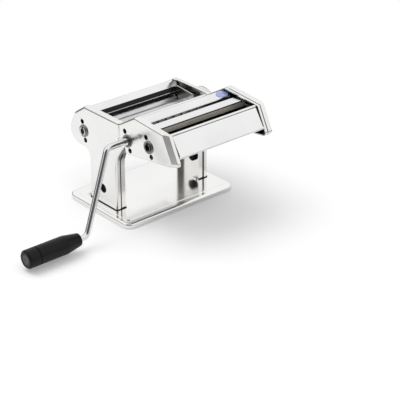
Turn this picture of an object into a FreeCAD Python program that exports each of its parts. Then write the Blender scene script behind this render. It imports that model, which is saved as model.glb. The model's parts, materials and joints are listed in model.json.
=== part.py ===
import FreeCAD, Part
import math
import os
from types import SimpleNamespace
from FreeCAD import Placement, Rotation, Vector

# Hand-cranked pasta machine: a roller unit on a base, a lift-off cutter unit in front of it, a
# pull-out crank and a thickness knob. X runs along the rollers with the crank side at -X, the
# noodles leave towards -Y, Z is up, and the origin is the middle of the base on the table.

os.makedirs("parts", exist_ok=True)
doc = FreeCAD.newDocument("PastaMachine")

# ---------------------------------------------------------------- driving dimensions, millimetres
SIZES = {
    # side plates: pans drawn from sheet, open towards the rollers
    "unit_width": 160.0,
    "plate_sheet": 1.5,
    "plate_flange": 8.0,
    "plate_round": 3.5,
    "far_pan_bulge": 7.0,
    "unit_gap": 0.7,
    "leg_bend": 32.0,
    "leg_flange": 15.5,
    "leg_step": 0.7,
    # base tray
    "base_side_margin": 14.2,
    "base_depth": 132.6,
    "base_top": 8.7,
    "base_lift": 0.8,
    "base_corner": 12.0,
    "base_round": 3.2,
    "base_sheet": 1.2,
    "plateau_step": 0.7,
    "plateau_side_margin": 8.2,
    "plateau_end_margin": 10.3,
    "foot_radius": 8.0,
    "foot_inset": 16.0,
    "foot_gap": 0.3,
    "ear_thickness": 1.5,
    "ear_length": 11.0,
    "ear_corner": 2.0,
    "ear_width": 9.0,
    "foot_rivet_radius": 1.8,
    "rivet_head_radius": 3.0,
    "rivet_head_height": 1.0,
    # smooth rollers
    "roller_radius": 16.2,
    "roller_side_gap": 1.0,
    "roller_gap": 0.6,
    "gap_travel": 2.4,
    "roller_axis_depth": 42.8,
    "roller_axis_height": 102.6,
    "drive_journal_radius": 5.8,
    "idle_journal_radius": 4.0,
    "running_gap": 0.05,
    # crank sockets in the ends of the drive shafts
    "socket_radius": 4.15,
    "socket_depth": 25.5,
    "shaft_reach": 2.5,
    "slot_width": 3.3,
    "slot_depth": 5.0,
    "bush_radius": 7.2,
    "bush_flange_radius": 8.6,
    "bush_flange": 1.2,
    "motor_hole_radius": 3.6,
    "motor_hole_spacing": 26.0,
    # bearing plates inside the pans, and the gears beside them
    "bearing_sheet": 1.6,
    "bearing_play": 0.2,
    "bearing_reach": 12.5,
    "gear_width": 3.5,
    "gear_offset": 1.8,
    "gear_teeth": 13.0,
    "roller_gear_module": 2.5,
    "cutter_gear_module": 1.5,
    "gear_backlash": 0.22,
    # cutter rollers: a wide pair and a narrow pair
    "cutter_radius": 10.5,
    "cutter_core": 8.5,
    "cutter_spacing": 19.5,
    "wide_axis_depth": -51.6,
    "wide_axis_rise": 17.6,
    "narrow_axis_depth": -95.0,
    "narrow_axis_rise": 23.8,
    "wide_ring": 6.3,
    "wide_pitch": 13.2,
    "narrow_ring": 1.9,
    "narrow_pitch": 4.4,
    "comb_sheet": 0.8,
    "comb_bar": 4.0,
    "comb_reach": 11.2,
    "comb_gap": 0.4,
    "comb_angle": 40.0,
    # covers and guides of folded sheet
    "cover_sheet": 1.0,
    "cover_tuck": 4.4,
    "clear_gap": 0.6,
    "tie_rod_radius": 3.0,
    "cutter_rod_radius": 2.5,
    "clamp_hole_radius": 6.5,
    "clamp_hole_depth": 4.0,
    "clamp_hole_height": 31.6,
    # thickness knob and its cam
    "knob_depth": 9.0,
    "knob_rise": 2.9,
    "knob_radius": 22.5,
    "knob_wall": 2.5,
    "knob_gap": 0.4,
    "knob_length": 24.0,
    "knob_web": 3.0,
    "knob_web_depth": 6.6,
    "post_recess": 4.0,
    "post_head": 1.6,
    "post_head_radius": 5.6,
    "post_radius": 4.0,
    "hub_radius": 6.0,
    "cam_radius": 8.4,
    "cam_turn": 270.0,
    "follower_radius": 1.5,
    "detent_radius": 16.0,
    "detent_sheet": 2.0,
    "detent_groove": 1.8,
    "detent_floor": 0.6,
    "lock_pin_gap": 0.3,
    "knob_collar": 3.0,
    "knob_collar_step": 0.8,
    "knob_cap_depth": 2.0,
    "knob_cap_margin": 1.5,
    "spring_wire": 0.5,
    "spring_gap": 0.7,
    "spring_coils": 4.0,
    # rails of the roller unit and hooks of the cutter unit
    "rail_offset": 45.0,
    "rail_half_width": 8.0,
    "rail_height": 22.0,
    "rail_rise": 5.4,
    "hook_gap": 0.3,
    # crank and its grip
    "crank_rod_radius": 4.0,
    "crank_tip_gap": 3.0,
    "crank_elbow_reach": 32.8,
    "crank_lean": 49.2,
    "crank_grip_gap": 12.5,
    "crank_throw": 104.1,
    "crank_swing": 9.35,
    "crank_pin_radius": 1.5,
    "crank_pin_length": 11.0,
    "elbow_radius": 9.0,
    "grip_radius": 12.4,
    "grip_neck_radius": 8.5,
    "grip_sleeve_length": 66.0,
    "grip_cap_length": 15.5,
    "crank_end_reach": 10.0,
    "grip_swell": 22.5,
    "grip_shoulder": 10.0,
    "grip_neck_round": 1.2,
    "grip_groove": 1.6,
    "grip_groove_depth": 0.8,
    "grip_play": 0.3,
    "grip_ring_width": 1.6,
    "grip_disc_radius": 7.5,
    "grip_disc_depth": 0.8,
    "grip_cap_round": 3.0,
    "collar_length": 5.5,
    "collar_wall": 2.2,
    "collar_gap": 1.5,
}

sheet = doc.addObject("Spreadsheet::Sheet", "Sizes")
for row, (alias, value) in enumerate(SIZES.items(), start=1):
    sheet.set(f"A{row}", alias)
    sheet.set(f"B{row}", str(value))
    sheet.setAlias(f"B{row}", alias)
doc.recompute()
size = SimpleNamespace(**{alias: sheet.get(alias) for alias in SIZES})

# ---------------------------------------------------------------- values that follow from them
half_width = size.unit_width / 2
plate_inner = half_width - size.plate_sheet
plate_rim = half_width - size.plate_flange
roller_half = plate_rim - size.roller_side_gap
clear_half = plate_rim - size.clear_gap
cover_half = plate_rim + size.cover_tuck
shaft_end = half_width + size.shaft_reach
socket_floor = shaft_end - size.socket_depth
base_half_length = half_width + size.base_side_margin
base_half_depth = size.base_depth / 2
base_top = size.base_top
gear_start = roller_half + size.gear_offset
bearing_end = plate_inner - size.bearing_play
bearing_start = bearing_end - size.bearing_sheet
idle_axis_depth = size.roller_axis_depth - 2 * size.roller_radius - size.roller_gap
drive_axis = (size.roller_axis_depth, size.roller_axis_height)
idle_axis = (idle_axis_depth, size.roller_axis_height)
wide_axis = (size.wide_axis_depth, size.roller_axis_height + size.wide_axis_rise)
wide_idle_axis = (wide_axis[0] - size.cutter_spacing, wide_axis[1])
narrow_axis = (size.narrow_axis_depth, size.roller_axis_height + size.narrow_axis_rise)
narrow_idle_axis = (narrow_axis[0] - size.cutter_spacing, narrow_axis[1])
knob_axis = (size.knob_depth, size.roller_axis_height + size.knob_rise)
rail_foot = size.roller_axis_height + size.rail_rise
knob_start = half_width + size.detent_sheet + size.knob_gap
knob_end = knob_start + size.knob_length
crank_elbow = half_width + size.crank_elbow_reach
crank_hand = crank_elbow + size.crank_lean
grip_start = crank_hand + size.crank_grip_gap
grip_cap = grip_start + size.grip_sleeve_length
grip_end = grip_cap + size.grip_cap_length

parts = []


# ---------------------------------------------------------------- outlines
def shifted_lines(corners, amounts, closed):
    """The edges of a path, each moved to its right-hand side by its own amount."""
    count = len(corners) if closed else len(corners) - 1
    lines = []
    for i in range(count):
        start = Vector(corners[i][0], corners[i][1], 0)
        end = Vector(corners[(i + 1) % len(corners)][0], corners[(i + 1) % len(corners)][1], 0)
        along = (end - start).normalize()
        right = Vector(along.y, -along.x, 0)
        lines.append((start + right * amounts[i], along, end + right * amounts[i]))
    return lines


def crossing(first, second):
    """The point where two edges meet."""
    across = first[1].x * second[1].y - first[1].y * second[1].x
    gap = second[0] - first[0]
    reach = (gap.x * second[1].y - gap.y * second[1].x) / across
    return first[0] + first[1] * reach


def offset(corners, amounts, closed=True):
    """A path of (u, v, bend radius) corners moved to its right, with its bends kept concentric."""
    if not isinstance(amounts, (list, tuple)):
        amounts = [amounts] * len(corners)
    lines = shifted_lines(corners, amounts, closed)
    moved = []
    for i, corner in enumerate(corners):
        if not closed and i == 0:
            point = lines[0][0]
        elif not closed and i == len(corners) - 1:
            point = lines[-1][2]
        else:
            point = crossing(lines[i - 1], lines[i])
        radius = corner[2]
        if radius > 0 and (closed or 0 < i < len(corners) - 1):
            before = lines[i - 1][1]
            after = lines[i][1]
            right_turn = before.x * after.y - before.y * after.x < 0
            step = min(amounts[i - 1], amounts[i])
            radius = max(radius - step, 0.0) if right_turn else radius + step
        moved.append((point.x, point.y, radius))
    return moved


def folded(path, thickness):
    """The closed outline of a folded sheet whose first side is path, with the metal to its right."""
    return path + list(reversed(offset(path, thickness, closed=False)))


def setbacks(corners):
    """How far each bend reaches along its edges, shared out where two bends meet."""
    count = len(corners)
    wanted = []
    for i in range(count):
        point = Vector(corners[i][0], corners[i][1], 0)
        back = Vector(corners[i - 1][0], corners[i - 1][1], 0) - point
        ahead = Vector(corners[(i + 1) % count][0], corners[(i + 1) % count][1], 0) - point
        half_angle = back.getAngle(ahead) / 2
        wanted.append([corners[i][2] / math.tan(half_angle), back.Length, ahead.Length])
    allowed = []
    for i, (reach, back_length, ahead_length) in enumerate(wanted):
        shares = [1.0]
        for neighbour, length in ((i - 1, back_length), ((i + 1) % count, ahead_length)):
            both = reach + wanted[neighbour][0]
            if both > 0.999 * length:
                shares.append(0.999 * length / both)
        allowed.append(reach * min(shares))
    return allowed


def rounded(corners):
    """Sketch curves of a closed outline of (u, v, bend radius) corners."""
    count = len(corners)
    joints = []
    for i, reach in enumerate(setbacks(corners)):
        point = Vector(corners[i][0], corners[i][1], 0)
        if reach < 0.01:
            joints.append((point, None, point))
            continue
        back = (Vector(corners[i - 1][0], corners[i - 1][1], 0) - point).normalize()
        ahead = (Vector(corners[(i + 1) % count][0], corners[(i + 1) % count][1], 0)
                 - point).normalize()
        half_angle = back.getAngle(ahead) / 2
        radius = reach * math.tan(half_angle)
        centre = point + (back + ahead).normalize() * (radius / math.sin(half_angle))
        middle = centre + (point - centre).normalize() * radius
        joints.append((point + back * reach, middle, point + ahead * reach))
    curves = []
    for i in range(count):
        start, middle, end = joints[i]
        if middle is not None:
            curves.append(Part.Arc(start, middle, end))
        curves.append(Part.LineSegment(end, joints[(i + 1) % count][0]))
    return curves


def above_axis(corners):
    """Corners whose heights are measured from the roller axes, at their place in the machine."""
    return [(corner[0], corner[1] + size.roller_axis_height, *corner[2:]) for corner in corners]


def circle(u, v, radius):
    return Part.Circle(Vector(u, v, 0), Vector(0, 0, 1), radius)


def box(u0, v0, u1, v1, radius=0.0):
    return rounded([(u0, v0, radius), (u0, v1, radius), (u1, v1, radius), (u1, v0, radius)])


# ---------------------------------------------------------------- features
def bind(feature, **expressions):
    """Ties the properties of a feature to the sheet; a double underscore stands for a dot."""
    for name, expression in expressions.items():
        feature.setExpression(name.replace("__", "."), expression)


def new_body(name):
    body = doc.addObject("PartDesign::Body", name)
    body.Label = name
    body.AllowCompound = True
    parts.append(body)
    return body


def new_sketch(body, role, start, curves):
    """A sketch on one of the body's own origin planes, moved along its normal by start."""
    sketch = body.newObject("Sketcher::SketchObject", f"{body.Name}_sketch")
    origin_plane = next(item for item in body.Origin.OriginFeatures if item.Role == role)
    sketch.AttachmentSupport = [(origin_plane, "")]
    sketch.MapMode = "FlatFace"
    bind(sketch, AttachmentOffset__Base__z=start)
    for curve in curves:
        sketch.addGeometry(curve, False)
    return sketch


def extrude(body, role, start, length, curves):
    """Pads a sketch by length, along the plane's normal."""
    pad = body.newObject("PartDesign::Pad", f"{body.Name}_pad")
    pad.Profile = new_sketch(body, role, start, curves)
    bind(pad, Length=length)
    doc.recompute()
    return pad


def cut(body, role, start, length, curves):
    """Pockets a sketch by length, along the plane's normal, and makes sure that metal goes."""
    before = body.Tip.Shape.Volume
    pocket = body.newObject("PartDesign::Pocket", f"{body.Name}_pocket")
    pocket.Profile = new_sketch(body, role, start, curves)
    pocket.Reversed = True
    bind(pocket, Length=length)
    doc.recompute()
    if not pocket.Shape.Volume < before - 1e-6:
        raise RuntimeError(f"{body.Label}: a pocket cuts nothing")
    return pocket


def flat_edges(shape, x):
    """The names of the edges that lie in the plane at x."""
    names = []
    for number, edge in enumerate(shape.Edges, start=1):
        limits = edge.BoundBox
        if abs(limits.XMin - x) < 1e-3 and abs(limits.XMax - x) < 1e-3:
            names.append(f"Edge{number}")
    return names


def round_edges(body, names, radius):
    base = body.Tip
    fillet = body.newObject("PartDesign::Fillet", f"{body.Name}_fillet")
    fillet.Base = (base, names)
    bind(fillet, Radius=radius)
    doc.recompute()
    return fillet


def place(part, position, axis=Vector(1, 0, 0), angle=0.0):
    part.Placement = Placement(Vector(*position), Rotation(axis, angle))


def turned(name, axis, steps, bore=None):
    """A part turned about a line along X through axis, from (start, end, radius) steps."""
    body = new_body(name)
    outline = [(steps[0][0], 0.0, 0.0)]
    for start, end, radius in steps:
        if abs(outline[-1][1] - radius) > 1e-6 or len(outline) == 1:
            outline.append((start, radius, 0.0))
        outline.append((end, radius, 0.0))
    outline.append((steps[-1][1], 0.0, 0.0))
    if bore:
        outline = [(u, max(v, bore), r) for u, v, r in outline]
    outline = [point for i, point in enumerate(outline) if point[:2] != outline[i - 1][:2]]
    revolution = body.newObject("PartDesign::Revolution", f"{name}_turned")
    sketch = new_sketch(body, "XY_Plane", "0 mm", rounded(outline))
    revolution.Profile = sketch
    revolution.ReferenceAxis = (sketch, ["H_Axis"])
    revolution.Angle = 360.0
    doc.recompute()
    place(body, (0, axis[0], axis[1]))
    return body


def rod(name, start, length, radius, axis):
    """A plain cylinder along X, whose sizes are expressions on the sheet."""
    cylinder = doc.addObject("Part::Cylinder", name)
    bind(cylinder, Radius=radius, Height=length)
    bind(cylinder, Placement__Base__x=start)
    cylinder.Placement = Placement(Vector(0, axis[0], axis[1]), Rotation(Vector(0, 1, 0), 90))
    return cylinder


def upright(name, x, y, start, length, radius):
    """A plain cylinder along Z, whose length and radius are expressions on the sheet."""
    cylinder = doc.addObject("Part::Cylinder", name)
    bind(cylinder, Radius=radius, Height=length)
    cylinder.Placement = Placement(Vector(x, y, start), Rotation())
    return cylinder


def group(name, members):
    """Like pieces that share one node, each still a solid of its own."""
    compound = doc.addObject("Part::Compound", name)
    compound.Links = members
    compound.Label = name
    parts.append(compound)
    return compound


def side_start(side, inner, depth):
    """Where a sheet between inner and inner + depth starts on the crank (-1) or knob (+1) side."""
    return f"{inner} mm" if side > 0 else f"{-inner - depth} mm"


def side_name(side):
    return "knob" if side > 0 else "crank"


# ---------------------------------------------------------------- base
leg_wall = size.leg_step + size.plate_sheet


def make_base():
    body = new_body("base_plate")
    half_length = base_half_length
    half_depth = base_half_depth
    corner = size.base_corner
    rim_height = "Sizes.base_top - Sizes.plateau_step - Sizes.base_lift"
    extrude(body, "XY_Plane", "Sizes.base_lift", rim_height,
            box(-half_length, -half_depth, half_length, half_depth, corner))
    rim_top = base_top - size.plateau_step
    rim_edges = [f"Edge{number}" for number, edge in enumerate(body.Tip.Shape.Edges, start=1)
                 if abs(edge.BoundBox.ZMin - rim_top) < 1e-3]
    round_edges(body, rim_edges, "Sizes.base_round")
    plateau_u = half_length - size.plateau_side_margin
    plateau_v = half_depth - size.plateau_end_margin
    extrude(body, "XY_Plane", "Sizes.base_top - 2 * Sizes.plateau_step",
            "2 * Sizes.plateau_step", box(-plateau_u, -plateau_v, plateau_u, plateau_v, corner / 2))
    wall = size.base_sheet
    cut(body, "XY_Plane", "0 mm", "Sizes.base_top - Sizes.plateau_step - Sizes.base_sheet",
        box(wall - half_length, wall - half_depth, half_length - wall, half_depth - wall,
            corner - wall))
    holes = [circle(x, y, size.foot_rivet_radius) for x, y in rivet_places()]
    cut(body, "XY_Plane", "0 mm", "Sizes.base_top + 1", holes)

    under_side = base_top - size.plateau_step - size.base_sheet
    foot_depth = leg_rear + size.ear_width + size.foot_gap + size.foot_radius
    feet = []
    for x in (-1, 1):
        for y in (-1, 1):
            feet.append(upright("foot", x * (half_length - size.foot_inset), y * foot_depth, 0.0,
                                f"{under_side} mm", "Sizes.foot_radius"))
    group("base_feet", feet)


def rivet_places():
    """The four rivets that hold the ears of the side plates to the base."""
    places = []
    for side in (-1, 1):
        places.append((side * (plate_rim - size.ear_length / 2),
                       leg_front + leg_wall + size.ear_width / 2))
        places.append((side * (half_width - size.plate_flange / 2), leg_rear + size.ear_width / 2))
    return places


def make_foot_rivets():
    under_side = base_top - size.plateau_step - size.base_sheet
    top = base_top + size.ear_thickness
    rivets = []
    for x, y in rivet_places():
        shank = upright("shank", x, y, under_side, f"{top - under_side} mm",
                        "Sizes.foot_rivet_radius")
        head = upright("head", x, y, top, "Sizes.rivet_head_height", "Sizes.rivet_head_radius")
        tail = upright("tail", x, y, under_side - size.rivet_head_height,
                       "Sizes.rivet_head_height", "Sizes.rivet_head_radius")
        rivet = doc.addObject("Part::MultiFuse", "foot_rivet")
        rivet.Shapes = [shank, head, tail]
        rivets.append(rivet)
    group("foot_rivets", rivets)


# ---------------------------------------------------------------- side plates of the roller unit
leg_front = -25.0
leg_rear = 33.0
leg_bend_height = size.roller_axis_height - 19.6
leg_top = size.roller_axis_height - 24.2
plate_front = -33.8
plate_top = size.roller_axis_height + 36.2
plate_top_rear = 40.4
shoulder = (63.8, size.roller_axis_height + 20.6)
tail = (89.9, leg_top)
cutter_seam = plate_front - size.unit_gap
seam = above_axis([(cutter_seam, 35.7, 3), (cutter_seam, 14.1, 4), (-45.2, 6.0, 3)])
roller_seam = offset(seam, -size.unit_gap, closed=False)
nose_share = 0.9
lining_share = 0.75
nose = [roller_seam[1][i] + nose_share * (roller_seam[2][i] - roller_seam[1][i]) for i in (0, 1)]
roller_plate = [
    (leg_front, base_top, 0), (leg_front, leg_bend_height, size.leg_bend), (*nose, 4),
    (plate_front, roller_seam[1][1], 5), (plate_front, plate_top, 3), (plate_top_rear, plate_top, 4),
    (*shoulder, 8), (*tail, 19.6), (leg_rear, leg_top, 12), (leg_rear, base_top, 0),
]
motor_tilt = 13.0
cutter_motor_tilt = 22.5


def socket_holes(axis, tilt, radius):
    """A drive socket's bush hole and the pair of holes for a motor's pegs."""
    reach = size.motor_hole_spacing / 2
    lean = math.radians(tilt)
    step = (reach * math.sin(lean), reach * math.cos(lean))
    return [circle(axis[0], axis[1], size.bush_radius),
            circle(axis[0] + step[0], axis[1] + step[1], radius),
            circle(axis[0] - step[0], axis[1] - step[1], radius)]


def make_roller_plate(side):
    body = new_body(f"{side_name(side)}_side_plate")
    x_face = side * half_width
    start = side_start(side, plate_rim, size.plate_flange)
    extrude(body, "YZ_Plane", start, "Sizes.plate_flange", rounded(roller_plate))
    names = [name for name in flat_edges(body.Tip.Shape, x_face)
             if body.Tip.Shape.getElement(name).BoundBox.ZMax > base_top + 1]
    round_edges(body, names, "Sizes.plate_round")
    wall = size.plate_sheet
    inside = offset(roller_plate, [wall] * (len(roller_plate) - 1) + [0.0])
    inside = [(u, v - 1, r) if v < base_top + 1 else (u, v, r) for u, v, r in inside]
    depth = size.plate_flange - wall
    cut(body, "YZ_Plane", side_start(side, plate_rim, depth), f"{depth} mm", rounded(inside))
    strip = [(leg_front, base_top, 0), (leg_front, leg_bend_height, size.leg_bend), (*nose, 0)]
    strip = offset(strip, size.leg_step, closed=False)
    strip[-1] = (*[strip[1][i] + lining_share * (strip[2][i] - strip[1][i]) for i in (0, 1)], 0)
    strip_depth = size.leg_flange - wall
    extrude(body, "YZ_Plane", side_start(side, half_width - size.leg_flange, strip_depth),
            f"{strip_depth} mm", rounded(folded(strip, wall)))
    ears = ((plate_rim - size.ear_length, plate_inner, leg_front + leg_wall - wall / 2,
             leg_front + leg_wall + size.ear_width),
            (plate_rim, half_width, leg_rear - wall / 2, leg_rear + size.ear_width))
    for near_x, far_x, front_y, rear_y in ears:
        low_x, high_x = sorted((side * near_x, side * far_x))
        extrude(body, "XY_Plane", "Sizes.base_top", "Sizes.ear_thickness",
                box(low_x, front_y, high_x, rear_y, size.ear_corner))
    near = [(x, y) for x, y in rivet_places() if x * side > 0]
    cut(body, "XY_Plane", "Sizes.base_top - 1", "Sizes.ear_thickness + 2",
        [circle(x, y, size.foot_rivet_radius) for x, y in near])
    face_start = side_start(side, plate_inner - 1, wall + 2)
    holes = [circle(size.clamp_hole_depth, size.clamp_hole_height, size.clamp_hole_radius)]
    if side < 0:
        holes += socket_holes(drive_axis, motor_tilt, size.motor_hole_radius)
    else:
        holes.append(circle(knob_axis[0], knob_axis[1], size.post_radius))
        slot_half = size.follower_radius + slot_play
        slot_start = follower_rest - size.gap_travel - slot_half
        slot_end = follower_rest + slot_half
        holes += box(slot_start, knob_axis[1] - slot_half, slot_end, knob_axis[1] + slot_half,
                     0.98 * slot_half)
    cut(body, "YZ_Plane", face_start, f"{wall + 2} mm", holes)


# ---------------------------------------------------------------- rollers, bushes and gears
def turned_box(half_u, half_v, turn):
    """A rectangle about the origin, turned by an angle in degrees."""
    angle = math.radians(turn)
    corners = [(-half_u, -half_v), (-half_u, half_v), (half_u, half_v), (half_u, -half_v)]
    return rounded([(u * math.cos(angle) - v * math.sin(angle),
                     u * math.sin(angle) + v * math.cos(angle), 0.0) for u, v in corners])


def drive_shaft_end(body, turn=0.0):
    """The crank socket: a blind bore with a cross slot that takes the crank's pin."""
    cut(body, "YZ_Plane", f"{-shaft_end} mm", "Sizes.socket_depth",
        [circle(0, 0, size.socket_radius)])
    reach = size.drive_journal_radius + 1
    half_slot = size.slot_width / 2
    cut(body, "YZ_Plane", f"{-shaft_end} mm", "Sizes.slot_depth",
        turned_box(half_slot, reach, turn))


def gear(name, axis, module, centre_distance, phase):
    """A spur gear on its roller's journal, just outside the roller's end."""
    body = new_body(name)
    teeth = int(size.gear_teeth)
    pitch_radius = module * teeth / 2
    tip = min(pitch_radius + module, centre_distance - pitch_radius + module * 1.05)
    root = min(pitch_radius - 1.2 * module, centre_distance - tip - 0.2 * module)
    pressure = math.radians(25)
    base_radius = pitch_radius * math.cos(pressure)
    half_tooth = math.pi / (2 * teeth) - size.gear_backlash / (2 * pitch_radius)
    involute = math.tan(pressure) - pressure
    start_radius = max(base_radius, root)
    flank = []
    for i in range(5):
        radius = start_radius + (tip - start_radius) * i / 4
        roll = math.acos(min(base_radius / radius, 1.0))
        flank.append((radius, half_tooth + involute - (math.tan(roll) - roll)))
    points = []
    for tooth in range(teeth):
        middle = math.radians(phase) + 2 * math.pi * tooth / teeth
        points.append((root, middle - flank[0][1] - 0.02))
        points += [(radius, middle - angle) for radius, angle in flank]
        points += [(radius, middle + angle) for radius, angle in reversed(flank)]
        points.append((root, middle + flank[0][1] + 0.02))
    outline = [(r * math.cos(a), r * math.sin(a), 0.0) for r, a in points]
    extrude(body, "YZ_Plane", f"{gear_start} mm", "Sizes.gear_width",
            rounded(outline) + [circle(0, 0, size.idle_journal_radius)])
    place(body, (0, axis[0], axis[1]))
    return body


def make_rollers():
    half = roller_half
    drive = turned("drive_roller", drive_axis, [
        (-shaft_end, -half, size.drive_journal_radius),
        (-half, half, size.roller_radius),
        (half, bearing_end, size.idle_journal_radius)])
    drive_shaft_end(drive)
    turned("adjustable_roller", idle_axis, [
        (-bearing_end, -half, size.idle_journal_radius),
        (-half, half, size.roller_radius),
        (half, bearing_end, size.idle_journal_radius)])
    centres = drive_axis[0] - idle_axis[0]
    module = size.roller_gear_module
    half_pitch = 180 / int(size.gear_teeth)
    gear("drive_roller_gear", drive_axis, module, centres, 180)
    gear("adjustable_roller_gear", idle_axis, module, centres, half_pitch)


def bush_steps():
    flange_start = -half_width - size.bush_flange
    return [(flange_start, -half_width, size.bush_flange_radius),
            (-half_width, -bearing_start, size.bush_radius)]


def make_roller_bearings():
    turned("roller_bush", drive_axis, bush_steps(), size.drive_journal_radius + size.running_gap)
    body = new_body("knob_bearing_plate")
    reach = size.bearing_reach
    extrude(body, "YZ_Plane", f"{bearing_start} mm", f"{plate_inner - bearing_start} mm",
            box(drive_axis[0] - reach, drive_axis[1] - reach, drive_axis[0] + reach,
                drive_axis[1] + reach, 3.0)
            + [circle(*drive_axis, size.idle_journal_radius + size.running_gap)])


# ---------------------------------------------------------------- thickness adjuster
cam_gap = 0.1
slot_play = 0.3
pin_reach = 1.0
follower_rest = size.knob_depth + size.cam_radius + cam_gap + size.follower_radius
slide_front = idle_axis_depth - 26.8
slide_rear = idle_axis_depth + 13.7
slide_foot = size.roller_axis_height - 26.6
slide_top = size.roller_axis_height + 16.4
slide_gap = 0.15
slide_corner = 3.0
slide_rail_height = 2.6
slide_rail_inset = 4.0
bar_places = [(idle_axis_depth - 20.8, size.roller_axis_height + 9.4),
              (idle_axis_depth - 6.8, size.roller_axis_height - 22.1)]
adjuster_bar_radius = 3.0


def make_adjuster():
    for side in (-1, 1):
        body = new_body(f"adjuster_slide_{side_name(side)}")
        start = side_start(side, bearing_start, size.bearing_sheet)
        curves = box(slide_front, slide_foot, slide_rear, slide_top, slide_corner)
        curves.append(circle(*idle_axis, size.idle_journal_radius + size.running_gap))
        if side > 0:
            curves.append(circle(follower_rest, knob_axis[1], size.follower_radius))
        extrude(body, "YZ_Plane", start, "Sizes.bearing_sheet", curves)
    bars = [rod("bar", f"{-bearing_start} mm", f"{2 * bearing_start} mm",
                f"{adjuster_bar_radius} mm", axis) for axis in bar_places]
    group("adjuster_bars", bars)
    turned("cam_follower_pin", (follower_rest, knob_axis[1]), [
        (bearing_start, half_width + size.detent_sheet + pin_reach, size.follower_radius)])
    scraper = new_body("front_scraper")
    bar = bar_places[1]
    blade = (idle_axis_depth + 5.5, size.roller_axis_height - 15.7)
    outline = [(blade[0], blade[1], 0), (bar[0] + 3.5, bar[1] - 4.0, 1),
               (bar[0] - 4.5, bar[1] - 4.0, 2), (bar[0] - 4.5, bar[1] + 4.2, 2),
               (bar[0] + 3.0, bar[1] + 4.7, 2)]
    extrude(scraper, "YZ_Plane", f"{-clear_half} mm", f"{2 * clear_half} mm",
            rounded(outline) + [circle(bar[0], bar[1], adjuster_bar_radius)])
    rails = []
    for side in (-1, 1):
        for low, high in ((slide_top + slide_gap, slide_top + slide_rail_height),
                          (slide_foot - slide_rail_height, slide_foot - slide_gap)):
            rail = doc.addObject("Part::Box", "slide_rail")
            rail.Length = plate_inner - bearing_start
            rail.Width = slide_rear - slide_front - slide_rail_inset
            rail.Height = high - low
            corner_x = bearing_start if side > 0 else -plate_inner
            rail.Placement = Placement(Vector(corner_x, slide_front + slide_rail_inset, low),
                                       Rotation())
            rails.append(rail)
    group("adjuster_rails", rails)


def cam_outline():
    """A spiral that lets the follower move by the gap travel over the knob's turn."""
    points = []
    margin = 16.0
    start = size.cam_radius
    end = size.cam_radius - size.gap_travel
    steps = 54
    for i in range(steps + 1):
        turn = -margin + (size.cam_turn + 2 * margin) * i / steps
        share = min(max(turn / size.cam_turn, 0.0), 1.0)
        points.append((start + (end - start) * share, -math.radians(turn)))
    return [(r * math.cos(a), r * math.sin(a), 0.0) for r, a in points]


ring_play = 0.7
hub_fit = 0.15
cam_width = 2.7
lock_pin_angle = math.radians(60)


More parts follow.
